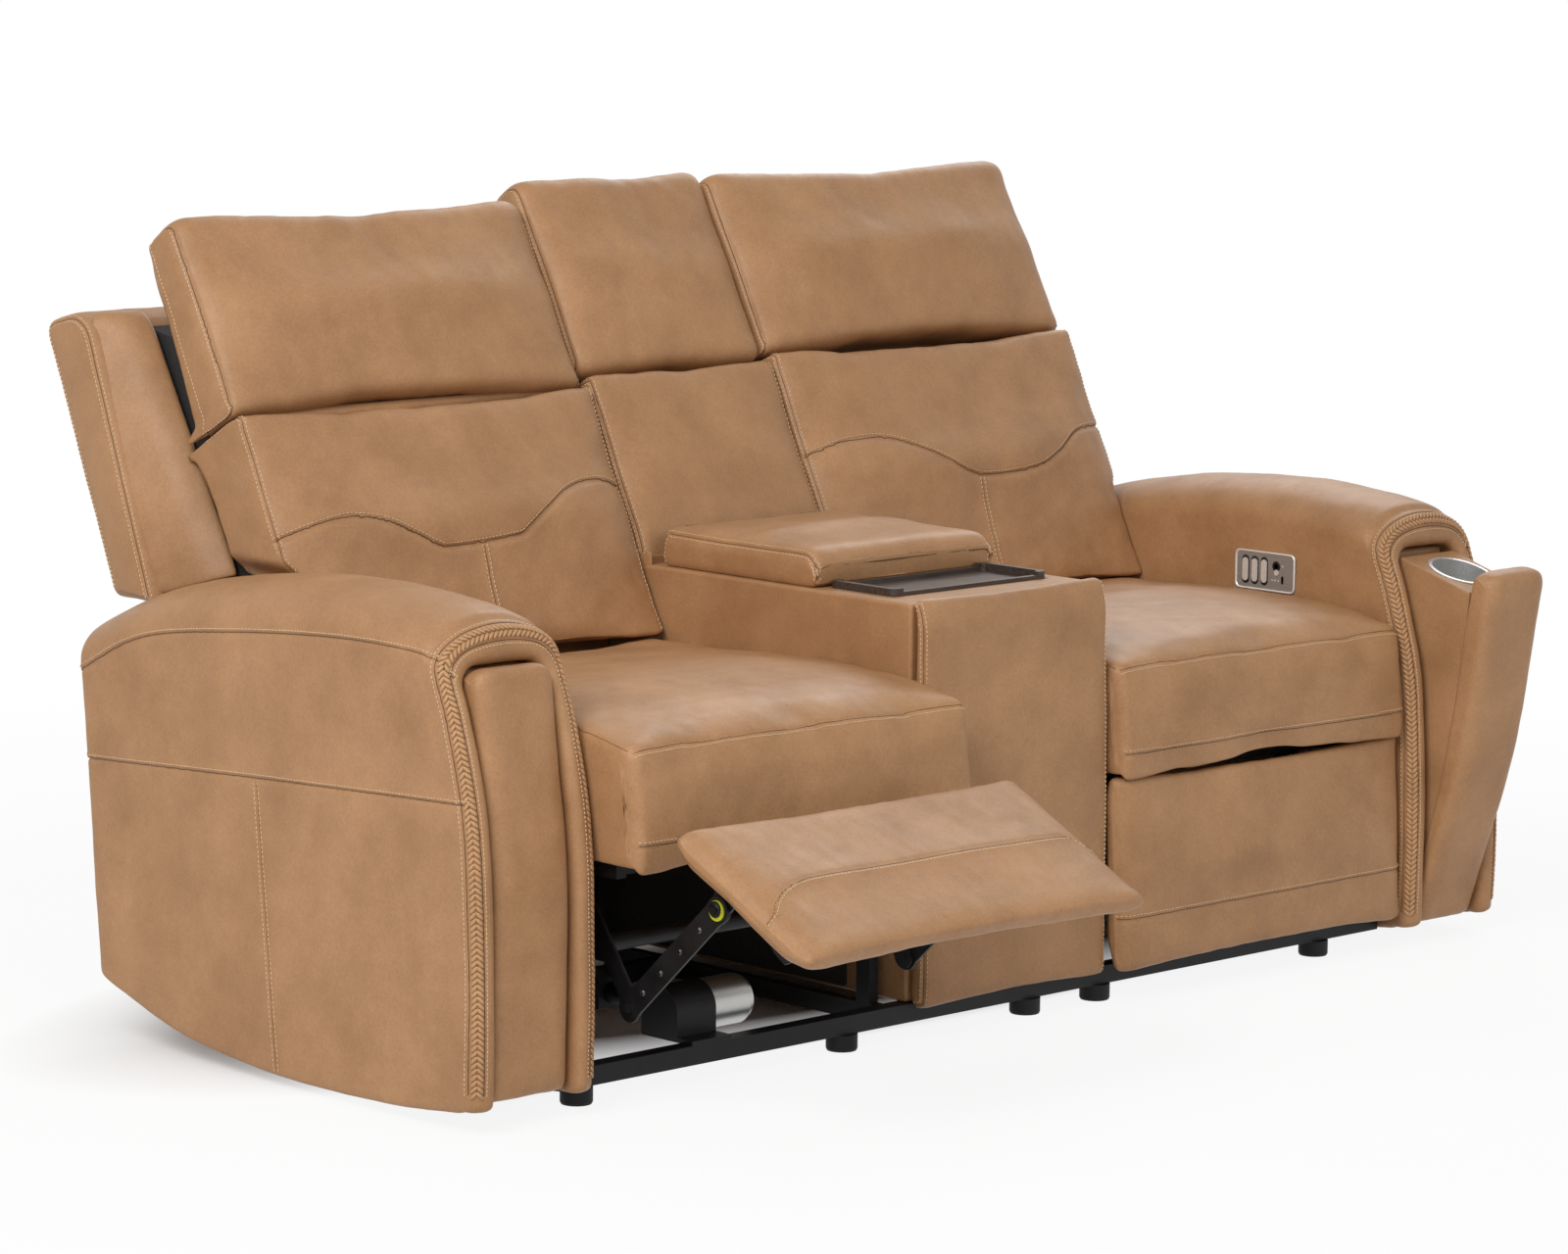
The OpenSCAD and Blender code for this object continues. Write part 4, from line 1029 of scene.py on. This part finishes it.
PAD_TOP = ankle(0) - 65 * PAD_DIR - 87 * PAD_BACK


def on_pad(u, v, reach):
    return (*(PAD_TOP + u * PAD_DIR + v * PAD_BACK), reach)


def on_footrest(side):
    e = SLIDE[side]

    def move(points):
        p = turn_x(points, ankle(0), -0.796 * e)
        go = ankle(e) - ankle(0)
        return p + np.array([SIDES[side] * UNIT_X, go[0] - e, go[1]])

    return move


def add_footrests():
    pad = Pad(PAD_W, [on_pad(30, PAD_T, 14), on_pad(0, 28, 8), on_pad(0, 0, 12), on_pad(96, -2, 30),
                      on_pad(PAD_LEN + 4, 1, 15), on_pad(PAD_LEN + 2, 30, 12), on_pad(PAD_LEN - 40, PAD_T, 14)],
              7, -PAD_BACK, edge=26, drawn=14, hold=lambda out: 0.35 + 0.65 * np.abs(out @ PAD_BACK))
    base, faces = swollen(pad, 11)
    half = pad.half - 1
    for side in SIDES:
        sewn = sew(base, faces, 51 if side == "left" else 53, 0.9)
        s = np.linspace(-1.01, 1.01, 90)
        bend = 140 + 44 * np.clip((-s - 0.66) / 0.35, 0, 1) ** 2 + 26 * np.clip((s - 0.84) / 0.17, 0, 1) ** 2
        if side == "right":
            bend = np.full(90, 196.0)
        ahead = 14 - 26 * smooth_step((np.abs(s) - 0.985) / 0.025)
        line = PAD_TOP + np.outer(bend, PAD_DIR) - np.outer(ahead, PAD_BACK)
        toward = (0, *(PAD_DIR if side == "left" else -PAD_DIR))
        sewn.seam(np.column_stack([s * half, line]), [(4.6, toward)], depth=2.0, width=2.4, ridge=1.2)
        add_sewn(side + "_footrest_leather", sewn, side + "_footrest", side + "_footrest_pad", fill=0.85,
                 move=on_footrest(side))


# Arms, drawn for the right side with X measured from the arm's middle


def table(points):
    """A function that reads a smooth curve through (key, value) points."""
    fine = spline(points, 2.0)
    return lambda v: np.interp(v, fine[:, 0], fine[:, 1])


arm_front = table([(20, -62), (173, -64), (330, -58), (416, -47), (510, -20), (575, 3), (650, 0)])
arm_top = table([(-60, 619), (0, 633), (70, 641), (200, 648), (400, 637), (600, 603), (742, 552)])
arm_low = table([(-60, 29), (100, 16), (330, 12), (540, 31), (690, 68), (742, 86)])
arm_rear = table([(0, 696), (100, 700), (300, 717), (560, 741), (700, 742)])
seam_high = table([(-70, 572), (15, 586), (189, 588), (414, 571), (602, 543), (742, 482)])
seam_mid = table([(-62, 412), (-22, 409), (300, 394), (727, 371), (742, 370)])
ARM_START, ARM_REAR, ARM_HALF, ARM_RISE, LEG_MID = -62.0, 742.0, ARM_W / 2, 52.0, 82.5
ARM_LEN, ARM_SEAM_Y, ARM_FACE = ARM_REAR - ARM_START, 364.0, 101.0
BAY_HALF, BAY_TOP, BAY_REAR, BAY_TURN = 65.0, 568.0, 182.0, 26.0
FOLD, LIP_WIDE, LIP_DEEP = 7.0, 35.5, 28.0
LIP = [(35.5, -28), (35.5, -20), (35.3, -14), (34.2, -7), (31, -1.5), (27, 1.2), (22.5, 2.2), (18.5, 1.6),
       (15.5, 0.2), (14, -0.6), (12.6, -1.2), (11, -1.4), (8.5, -2.4), (6, -4.6), (3.8, -7.4), (2.2, -10.6),
       (1.2, -13), (0.8, -14.4), (0.4, -16), (0, -19), (0, -23), (0, -28)]


def half_outline(half, top, low, rise, corner):
    """From the underside at the middle of a leg, up its outer side and over to the top."""
    points = [(LEG_MID, low)]
    sign = 1 if half > LEG_MID else -1
    for a in np.linspace(0, math.pi / 2, 7):
        points.append((half - sign * FOLD * (1 - math.sin(a)), low + FOLD * (1 - math.cos(a))))
    spring = top - rise
    points += [(half, z) for z in np.linspace(low + FOLD, spring, 12)[1:-1]]
    if corner:
        a = np.linspace(0, math.pi / 2, 10)
        arc = np.column_stack([half - rise + rise * np.cos(a), spring + rise * np.sin(a)])
        points += [tuple(p) for p in arc] + [(x, top) for x in np.linspace(half - rise, 0, 6)[1:]]
    else:
        a = np.linspace(0, math.pi / 2, 26)
        points += list(zip(half * np.cos(a), spring + rise * np.sin(a)))
    return np.array(points)


def spread(keys, dense, counts):
    """Stations from key to key, crowded round the keys marked as dense."""
    near = np.array([1.3, 3.4, 6.6])
    out = [keys[0]]
    for i, count in enumerate(counts):
        a, b = keys[i], keys[i + 1]
        if dense[i]:
            out += list(a + near)
            a = a + near[-1]
        stop = b - near[-1] if dense[i + 1] else b
        out += list(np.linspace(a, stop, count + 1)[1:])
        if dense[i + 1]:
            out += list(b - near[-2::-1]) + [b]
    return np.array(out)


def arm_columns(outline, y):
    """Stations along an arm's outline that follow its two lengthwise seams."""
    d = lengths(outline)
    top = int(np.argmin(np.abs(outline[:, 0])))
    z, s = outline[8:top, 1], d[8:top]
    mid, high = np.interp(seam_mid(y), z, s), np.interp(seam_high(y), z, s)
    foot, crown = d[7], d[top]
    keys = [0, foot, mid, high, crown, 2 * crown - foot, 2 * crown]
    return spread(keys, (0, 0, 1, 1, 0, 0, 0), (4, 40, 18, 14, 76, 4))


def full_outline(half, top, low, rise, corner=False):
    h = half_outline(half, top, low, rise, corner)
    return np.vstack([h, h[-2::-1] * [-1, 1]])


def arm_ring(t, inset=0.0):
    """One line of points round an arm at a share t of its length."""
    y = ARM_START + ARM_LEN * t
    outline = full_outline(ARM_HALF - inset, arm_top(y) - inset, arm_low(y) + inset, ARM_RISE)
    p = at_lengths(outline, arm_columns(outline, y))
    front, rear = arm_front(p[:, 1]), arm_rear(p[:, 1])
    return np.column_stack([p[:, 0], front + (rear - front) * t, p[:, 1]])


def arm_lip():
    """The arm's front edge: its outer outline, the bay's outline and the share of each leg's fold."""
    outer = full_outline(ARM_HALF, arm_top(ARM_START), arm_low(ARM_START), ARM_RISE)
    bay = full_outline(BAY_HALF, BAY_TOP, arm_low(ARM_START), BAY_TURN, corner=True)
    s = arm_columns(outer, ARM_START)
    d = lengths(outer)
    keys = [[0, v[7], v[18], v[-1] - v[18], v[-1] - v[7], v[-1]] for v in (d, lengths(bay))]
    share = np.clip(np.minimum(s, d[-1] - s) / d[7], 0, 1)
    return at_lengths(outer, s), at_lengths(bay, np.interp(s, *keys)), share


def lip_row(u, f):
    """A line round the bay, u in from the arm's outline and f in front of the arm's front."""
    outer, bay, share = arm_lip()
    p = outer + (bay - outer) * (u / LIP_WIDE)
    f = f * share - LIP_DEEP * (1 - share)
    return np.column_stack([p[:, 0], arm_front(p[:, 1]) - f, p[:, 1]])


def arm_shape():
    """Rings from the bay's rear, out round the lip and back along the arm."""
    legs = 24
    first = lip_row(*LIP[0])
    rings = [first * [1, 0, 1] + np.outer(BAY_REAR + (first[:, 1] - BAY_REAR) * (k / legs), [0, 1, 0])
             for k in range(legs)]
    rings += [lip_row(u, f) for u, f in LIP]
    bay_end = BAY_REAR - ARM_START
    rings += [arm_ring(t) for t in np.linspace(LIP_DEEP / ARM_LEN, bay_end / ARM_LEN, legs + 1)[1:]]
    joint = len(rings) - 1
    along = spread([bay_end, ARM_SEAM_Y - ARM_START, ARM_LEN - 12], (0, 1, 0), (20, 38))[1:]
    rings += [arm_ring(s / ARM_LEN) for s in along]
    rings += [arm_ring(1 - gap / ARM_LEN, inset) for gap, inset in ((8, 0.6), (4.5, 2.0), (1.8, 4.6), (0.3, 8.0))]
    cols = len(first)
    faces = grid_faces(len(rings), cols)
    faces += [(i * cols, (i + 1) * cols, (i + 1) * cols + cols - 1, i * cols + cols - 1)
              for i in range(joint, len(rings) - 1)]
    return refine(*loft(rings, ((0, (0, 1, 0)), (3.0, (0, 1, 0))), faces=faces), weld=True)


def add_arms():
    shape = arm_shape()
    y = np.linspace(-46, 732, 160)
    drop = [[ARM_FACE, ARM_SEAM_Y - (385 - z) * 0.109, z] for z in np.linspace(384, 22, 60)]
    trim = slice(6, -6)
    for side in SIDES:
        sewn = sew(*shape, 61 if side == "left" else 67, 0.8)
        for level in (seam_high, seam_mid):
            path = np.column_stack([np.full(160, ARM_FACE), y, level(y)])
            sewn.seam(path, [(5.0, (0, 0, 1))], ridge=1.2)
        sewn.seam(drop, [(4.4, (0, 1, 0)), (4.4, (0, -1, 0))], depth=1.5, width=2.2, ridge=0.8, line=0.5)
        sewn.seam(lip_row(0.8, -14.4)[trim], [(5.0, (0, 1, 0))], depth=1.3, width=1.6, ridge=0.8)
        sewn.seam(lip_row(14.6, -0.4)[trim], depth=1.3, width=1.6)
        sewn.stitches.append((lip_row(17.5, 1.2)[trim], 5.4))
        braid = braid_shape(sewn, lip_row(3.9, -7.2)[trim], lip_row(9.2, -2.2)[trim])
        put = {"move": shift(SIDES[side] * ARM_MID), "mirror": side == "left"}
        add_sewn(side + "_arm_leather", sewn, "base", side + "_arm", **put)
        add_piece(side + "_arm_braid", braid, "base", "leather", material=[BRAID], **put)


# Cup drawers

DRAWER_PIVOT = (-20.0, 60.0)
DRAWER_SEAM = [(12, 553), (1, 467), (-14, 367), (-28, 250), (-30, 126), (-30, 36)]
CUP_Y, CUP_D = 82.0, 88.0


def add_drawers():
    front = [(DRAWER_SEAM[0][0] + 3, DRAWER_SEAM[0][1] + 12, 10)]
    front += [(y - out, z + up, reach) for (y, z), out, up, reach in
              zip(DRAWER_SEAM, (36, 38, 38, 31, 26, 24), (18, 0, 0, 0, 0, 0), (13, 40, 40, 40, 40, 16))]
    front += [(y, z, 4) for y, z in DRAWER_SEAM[:0:-1]]
    pad = Pad(124, front, 5, np.array([-1.0, 0]), edge=24, drawn=15, power=3, bulge=1, step=7,
              hold=lambda out: smooth_step(0.15 - out[:, 0]) * 0.75 + smooth_step(out[:, 1]) * 1.1)
    face, face_faces = refine(*pad.mesh())
    box = prism(119, [(150, 530, 5), (14, 530, 4), (3, 480, 4)]
                + [(y + 0.5, z, 3) for y, z in DRAWER_SEAM[1:]] + [(20, 38, 6), (150, 120, 8)], 2.5)
    box = carve(box, rod(CUP_D / 2 + 0.4, (0, CUP_Y, 457), (0, CUP_Y, 600), 64))
    roll = refine(*prism(118, [(24, 539, 10), (52, 539, 10), (52, 565, 10), (24, 565, 10)], 6))
    for side in SIDES:
        tilt = DRAWER_TILT if side == "right" else 0.0
        shove = shift(SIDES[side] * ARM_MID)

        def move(points):
            return shove(turn_x(points, DRAWER_PIVOT, tilt))

        sewn = sew(face, face_faces, 71 if side == "left" else 73, 0.7)
        add_sewn(side + "_drawer_front", sewn, side + "_drawer", side + "_cup_drawer", move=move)
        add_piece(side + "_drawer_box", box, side + "_drawer", "leather", smooth=False, move=move)
        add_piece(side + "_bay_roll", roll, "base", "leather", move=shove)


# Console

CONSOLE_H, CONSOLE_REAR, RAIL_TOP, LID_REAR, LID_FRONT = 580.0, 632.0, 47.0, 488.0, 190.0
CONSOLE_HALF = CONSOLE_W / 2 - 1


def add_console_pad(part, pad, limit, seed, rough, seams, fill, settle=None, move=None):
    """One of the console's soft pieces. settle() sets its points before seams() sews them."""
    verts, faces = swollen(pad, limit)
    sewn = sew(settle(verts) if settle else verts, faces, seed, rough)
    seams(sewn, pad)
    body, node = ("lid", "console_lid") if part == "lid" else ("base", "console_" + part + "_pad")
    add_sewn("console_" + part + "_leather", sewn, body, node, fill=fill, move=move)


def above(verts, low):
    return np.column_stack([verts[:, :2], np.maximum(verts[:, 2], low)])


def add_console():
    body = prism(2 * CONSOLE_HALF, [(0, RAIL_TOP, 8), (CONSOLE_REAR, RAIL_TOP, 8),
                                    (CONSOLE_REAR, CONSOLE_H, 12), (0, CONSOLE_H, 8)], 5, 6)
    body = carve(body, block((-142, LID_FRONT + 24, 380), (142, LID_REAR - 28, 600)))
    body = carve(body, block((-148, LID_FRONT - 6 - 123, CONSOLE_H - 6), (148, LID_FRONT - 5, 600)))
    add_piece("console_box", body, "base", "leather", "console_body", smooth=False)

    low = RAIL_TOP - 6
    corners = [(-SOFT_GAP, CONSOLE_H + 7, 2), (-15, CONSOLE_H + 9, 11), (-27, 556, 20), (-27, 480, 40),
               (-34, 385, 50), (-36, 110, 50), (-34, low, 14), (-9, low, 5), (-SOFT_GAP, 56, 5)]
    pad = Pad(CONSOLE_W - 2, corners, 3, (-1.0, 0), edge=14, drawn=9, bulge=2)
    add_console_pad("front", pad, 9, 81, 0.8, lambda sewn, pad: fold_seams(
        sewn, pad, lambda p: p[:, 1] < -9, depth=1.8, ridge=0.7), 0.9)

    lift = GROOVE_LIFT["console"]
    pad = Pad(CONSOLE_W - 2, back_corners(CONSOLE_H + 4), 14, BACK_OUT, edge=14, drawn=10)
    add_console_pad("back", pad, 14, 83, 1.0, lambda sewn, pad: fold_seams(
        sewn, pad, lambda p: (deep_of(p) > 12) & (p[:, 2] > CONSOLE_H + 10), depth=1.6, ridge=0.6), 0.8,
        lambda v: held(v, high=BACK_END), lambda p: raised(p, lift))

    pad = Pad(CONSOLE_W - 2, head_corners(), 20, BACK_OUT, edge=26, drawn=15, bulge=3)
    add_console_pad("headrest", pad, 18, 87, 1.3, head_seams, 0.85,
                    lambda v: held(v, low=HEAD_START), lambda p: taller(p, 1.0, lift))

    low, top = CONSOLE_H + SOFT_GAP, CONSOLE_H + SOFT_GAP + 50
    corners = [(LID_REAR + 2, top + 2, 6), (LID_FRONT, top, 26), (LID_FRONT - 4, low + 20, 18),
               (LID_FRONT, low, 8), (LID_REAR, low, 8)]
    pad = Pad(CONSOLE_W - 16, corners, 14, (0, 1.0), edge=16, drawn=10, power=3, bulge=4,
              hold=lambda out: smooth_step(0.4 + out[:, 1]))
    add_console_pad("lid", pad, 10, 91, 0.8, lambda sewn, pad: fold_seams(
        sewn, pad, lambda p: p[:, 2] > low + 5, depth=1.8, ridge=0.7), 0.9, lambda v: above(v, low))
    lug = prism(8, [(LID_REAR - 4, 616, 2), (LID_REAR + 9, 616, 4), (LID_REAR + 9, 628, 4),
                    (LID_REAR - 4, 628, 2)], 1)
    for k, x in (("left", -110), ("right", 110)):
        for j, side in (("a", -16), ("b", 16)):
            add_piece("lid_lug_" + k + "_" + j, lug, "lid", "black_steel", move=shift(x + side))

    def foot(z):
        return back_at((z - BACK_FOOT[1]) / math.cos(BACK_LEAN), SOFT_GAP)

    shell = prism(2 * CONSOLE_HALF, [
        (*foot(CONSOLE_H + 8), 3), (CONSOLE_REAR, CONSOLE_H + 2, 3), (CONSOLE_REAR, 70, 3), (715.7, 70, 3),
        (715.7, 330.3, 3), (shell_rear(330.3), 330.3, 6), (shell_rear(SHELL_TOP - 20), SHELL_TOP - 20, 20),
        (shell_rear(SHELL_TOP) - 20, SHELL_TOP, 14), (*foot(SHELL_TOP), 4)], 5)
    add_piece("console_outer_back", refine(*shell), "base", "outer_leather", "console_back_shell")
    lining = prism(1.6, [(112, 52, 6), (626, 52, 6), (626, 296, 6), (112, 296, 6)], 0.5)
    for side, sign in SIDES.items():
        add_piece(side + "_console_lining", lining, "base", "black_fabric", smooth=False,
                  move=shift(sign * (CONSOLE_HALF + 0.9)))
    panel = prism(2 * ARM_IN, [(716, 70, 3), (728, 70, 3), (728, 330, 3), (716, 330, 3)], 3)
    add_piece("rear_leather", panel, "base", "outer_leather", "rear_panel", smooth=False)


# Control plates and links


def disc(centre, axis, radius, height, sides=20):
    """A low dome: a round head with a rounded edge."""
    centre, axis = np.array(centre, float), unit(axis)
    side = unit(np.cross(axis, [0.0, 0.3, 1.0]))
    up = np.cross(axis, side)
    a = np.arange(sides) * 2 * math.pi / sides
    rings = [(radius, 0), (radius, 0.45 * height), (0.86 * radius, 0.8 * height), (0.5 * radius, height)]
    verts = np.vstack([centre + r * (np.outer(np.cos(a), side) + np.outer(np.sin(a), up)) + h * axis
                       for r, h in rings])
    top = tuple(range(3 * sides, 4 * sides))
    return verts, grid_faces(4, sides, closed=True) + [tuple(range(sides))[::-1], top]

def stadium(y, z, half_w, half_h, x, depth, sides=10):
    """A raised oval on a plate that faces along -X."""
    a = np.concatenate([np.linspace(0, math.pi, sides), np.linspace(math.pi, 2 * math.pi, sides)])
    lift = np.concatenate([np.full(sides, 1.0), np.full(sides, -1.0)]) * (half_h - half_w)
    ring = np.column_stack([half_w * np.cos(a), half_w * np.sin(a) + lift])
    rows = []
    for grow, out in ((1.0, 0), (1.0, 0.5 * depth), (0.8, depth)):
        rows.append(np.column_stack([np.full(len(ring), x - out), y + ring[:, 0] * grow, z + ring[:, 1] * grow]))
    n = len(ring)
    return np.vstack(rows), grid_faces(3, n, closed=True) + [tuple(range(n)), tuple(range(2 * n, 3 * n))]


def add_plates():
    """A bevelled rim, dark wells round the rockers, small lamps and a charging slot."""
    x, y, z = ARM_IN - 1.7, 222.5, 519.0
    half = np.array([57.5, 29])
    ring = rounded([(-half[0], -half[1], 9), (half[0], -half[1], 9), (half[0], half[1], 9),
                    (-half[0], half[1], 9)], 6)
    rim = [np.column_stack([np.full(len(ring), x - out), ring * (1 - inset / half) + (y, z)])
           for inset, out in ((0, 0.0), (0.3, 1.1), (1.4, 1.6), (2.6, 1.1), (3.2, 0.0))]
    rim = np.vstack(rim), grid_faces(5, len(ring), closed=True)
    wells = joined([stadium(y0, z, 7.2, 21, x, 0.25) for y0 in (260, 242, 224)]
                   + [disc((x, 201, z + 9), (-1, 0, 0), 7.6, 0.25), stadium(189, z - 10, 2.2, 6, x, 0.3)])
    lamps = joined([disc((x, y0, z0), (-1, 0, 0), 1.3, 0.5, 10)
                    for y0, z0 in ((209, z - 12), (203, z - 12), (197, z - 12), (189, z + 10))])
    for side in SIDES:
        for name, shape, slot in (("rim", rim, "button_metal"), ("wells", wells, "foot_plastic"),
                                  ("lamps", lamps, "button_metal")):
            add_piece(side + "_plate_" + name, shape, "base", slot, mirror=side == "left")


LINK_X = 240.0


def add_link_details():
    """Rivet heads along the footrest's links and caps on its bushings."""
    for side, sign in SIDES.items():
        e = SLIDE[side]
        for body, a, b, out, shares in (("swing", HIP, knee(e), -4.0, (0.26, 0.74)),
                                        ("lift", knee(e), ankle(e), 5.0, (0.16, 0.36, 0.58, 0.80))):
            heads = []
            for share in shares:
                p = a + share * (b - a)
                for way in (-1, 1):
                    x = sign * UNIT_X + way * (LINK_X + out)
                    heads.append(disc((x, p[0] - e, p[1]), (way * np.sign(out), 0, 0), 4.4, 2.0))
            add_piece(side + "_" + body + "_rivets", joined(heads), side + "_" + body, "black_steel",
                      material=[STEEL])
        y, z = ankle(e) + [1.5 - e, 1.5]
        caps = [disc((sign * UNIT_X + way * (LINK_X + 7), y, z), (way, 0, 0), 10.5, 3.0, 28) for way in (-1, 1)]
        add_piece(side + "_bushing_caps", joined(caps), side + "_footrest", "black_steel")


add_plates()
add_seats()
add_backs()
add_headrests()
add_shells()
add_footrests()
add_arms()
add_drawers()
add_console()
add_link_details()


# Camera, light and floor

LENS, CAMERA_AT = 125.69, (-5.203, -5.263, 1.569)
CAMERA_TURN = (43.774, 8.190, 0.533)


def camera():
    """Looks from CAMERA_AT, turned by degrees about the vertical, downwards and about its own line."""
    data = bpy.data.cameras.new("camera")
    data.lens, data.sensor_width = LENS, 36
    obj = bpy.data.objects.new("camera", data)
    a, e, r = (math.radians(degrees) for degrees in CAMERA_TURN)
    ahead = Vector((math.sin(a) * math.cos(e), math.cos(a) * math.cos(e), -math.sin(e)))
    right = Vector((math.cos(a), -math.sin(a), 0))
    up = right.cross(ahead)
    x_axis = right * math.cos(r) + up * math.sin(r)
    y_axis = up * math.cos(r) - right * math.sin(r)
    turn = Matrix((x_axis, y_axis, -ahead)).transposed().to_4x4()
    obj.matrix_world = Matrix.Translation(CAMERA_AT) @ turn
    bpy.context.scene.collection.objects.link(obj)
    bpy.context.scene.camera = obj


def area_light(name, place_at, look_at, size, power, tint=(1, 1, 1)):
    data = bpy.data.lights.new(name, "AREA")
    data.shape = "RECTANGLE"
    data.size, data.size_y = size
    data.energy = power
    data.color = tint
    obj = bpy.data.objects.new(name, data)
    obj.location = place_at
    obj.rotation_euler = (Vector(look_at) - Vector(place_at)).to_track_quat("-Z", "Y").to_euler()
    bpy.context.scene.collection.objects.link(obj)


def white_where_seen(tree, shader, target, kind, share):
    """Shows plain white to camera, glossy and transmission rays, by a share of 1 or a socket."""
    path = tree.nodes.new("ShaderNodeLightPath").outputs
    seen = path["Is Camera Ray"]
    for name in ("Is Glossy Ray", "Is Transmission Ray"):
        seen = tree.math("MAXIMUM", seen, path[name])
    white = tree.add(kind, 0, {"Color": (1, 1, 1, 1), "Strength": 1.0})
    weight = tree.math("MULTIPLY", seen, share)
    tree.put(target, tree.add("ShaderNodeMixShader", 0, {0: weight, 1: shader, 2: white}))


UNDER_AT, UNDER_HALF = 0.30, (1.05, 0.45)


def studio():
    """Soft light on a pale floor that keeps its shade near and under the part."""
    world = bpy.data.worlds.new("studio")
    bpy.context.scene.world = world
    tree = Tree(world)
    soft = tree.nodes["Background"]
    tree.put(soft.inputs["Color"], (1.0, 1.0, 1.0, 1))
    tree.put(soft.inputs["Strength"], 0.42)
    white_where_seen(tree, soft.outputs[0], tree.nodes["World Output"].inputs["Surface"],
                     "ShaderNodeBackground", 1)

    look = Look("floor")
    colour = look.ramp(look.noise(2, 2), (0.3, (0.80, 0.80, 0.80)), (0.7, (0.84, 0.84, 0.84)))
    material = look.finish({"Base Color": colour, "Roughness": 0.9, "Specular IOR Level": 0.1})
    away = look.add("ShaderNodeVectorMath", "Value", {0: look.where}, operation="LENGTH")
    share = look.add("ShaderNodeMapRange", "Result", {
        "From Min": 1.4, "From Max": 3.0, "To Min": 0.89, "Value": away})
    wide, deep = UNDER_HALF
    off = look.add("ShaderNodeVectorMath", "Vector", {
        0: look.where, 1: (1 / wide, 1 / deep, 0), 2: (0, -UNDER_AT / deep, 0)}, operation="MULTIPLY_ADD")
    beside = look.add("ShaderNodeVectorMath", "Value", {0: off}, operation="LENGTH")
    under = look.add("ShaderNodeMapRange", "Result", {"From Min": 0.78, "From Max": 1.15, "Value": beside})
    white_where_seen(look, look.nodes["Principled BSDF"].outputs[0],
                     look.nodes["Material Output"].inputs["Surface"], "ShaderNodeEmission",
                     look.math("MULTIPLY", share, under))
    half = 14.0
    mesh = bpy.data.meshes.new("floor")
    mesh.from_pydata([(-half, -half, 0), (half, -half, 0), (half, half, 0), (-half, half, 0)], [],
                     [(0, 1, 2, 3)])
    mesh.materials.append(material)
    floor = bpy.data.objects.new("floor", mesh)
    bpy.context.scene.collection.objects.link(floor)
    area_light("key", (-4.4, -1.6, 3.9), (0, 0, 0.5), (3.0, 2.4), 190)
    area_light("front", (-0.6, -5.2, 2.8), (0.2, 0, 0.5), (3.6, 2.2), 50)
    area_light("rim", (3.6, 2.4, 3.6), (0, 0, 0.6), (2.4, 2.0), 55)


camera()
studio()
bpy.context.scene.view_settings.view_transform = "Standard"
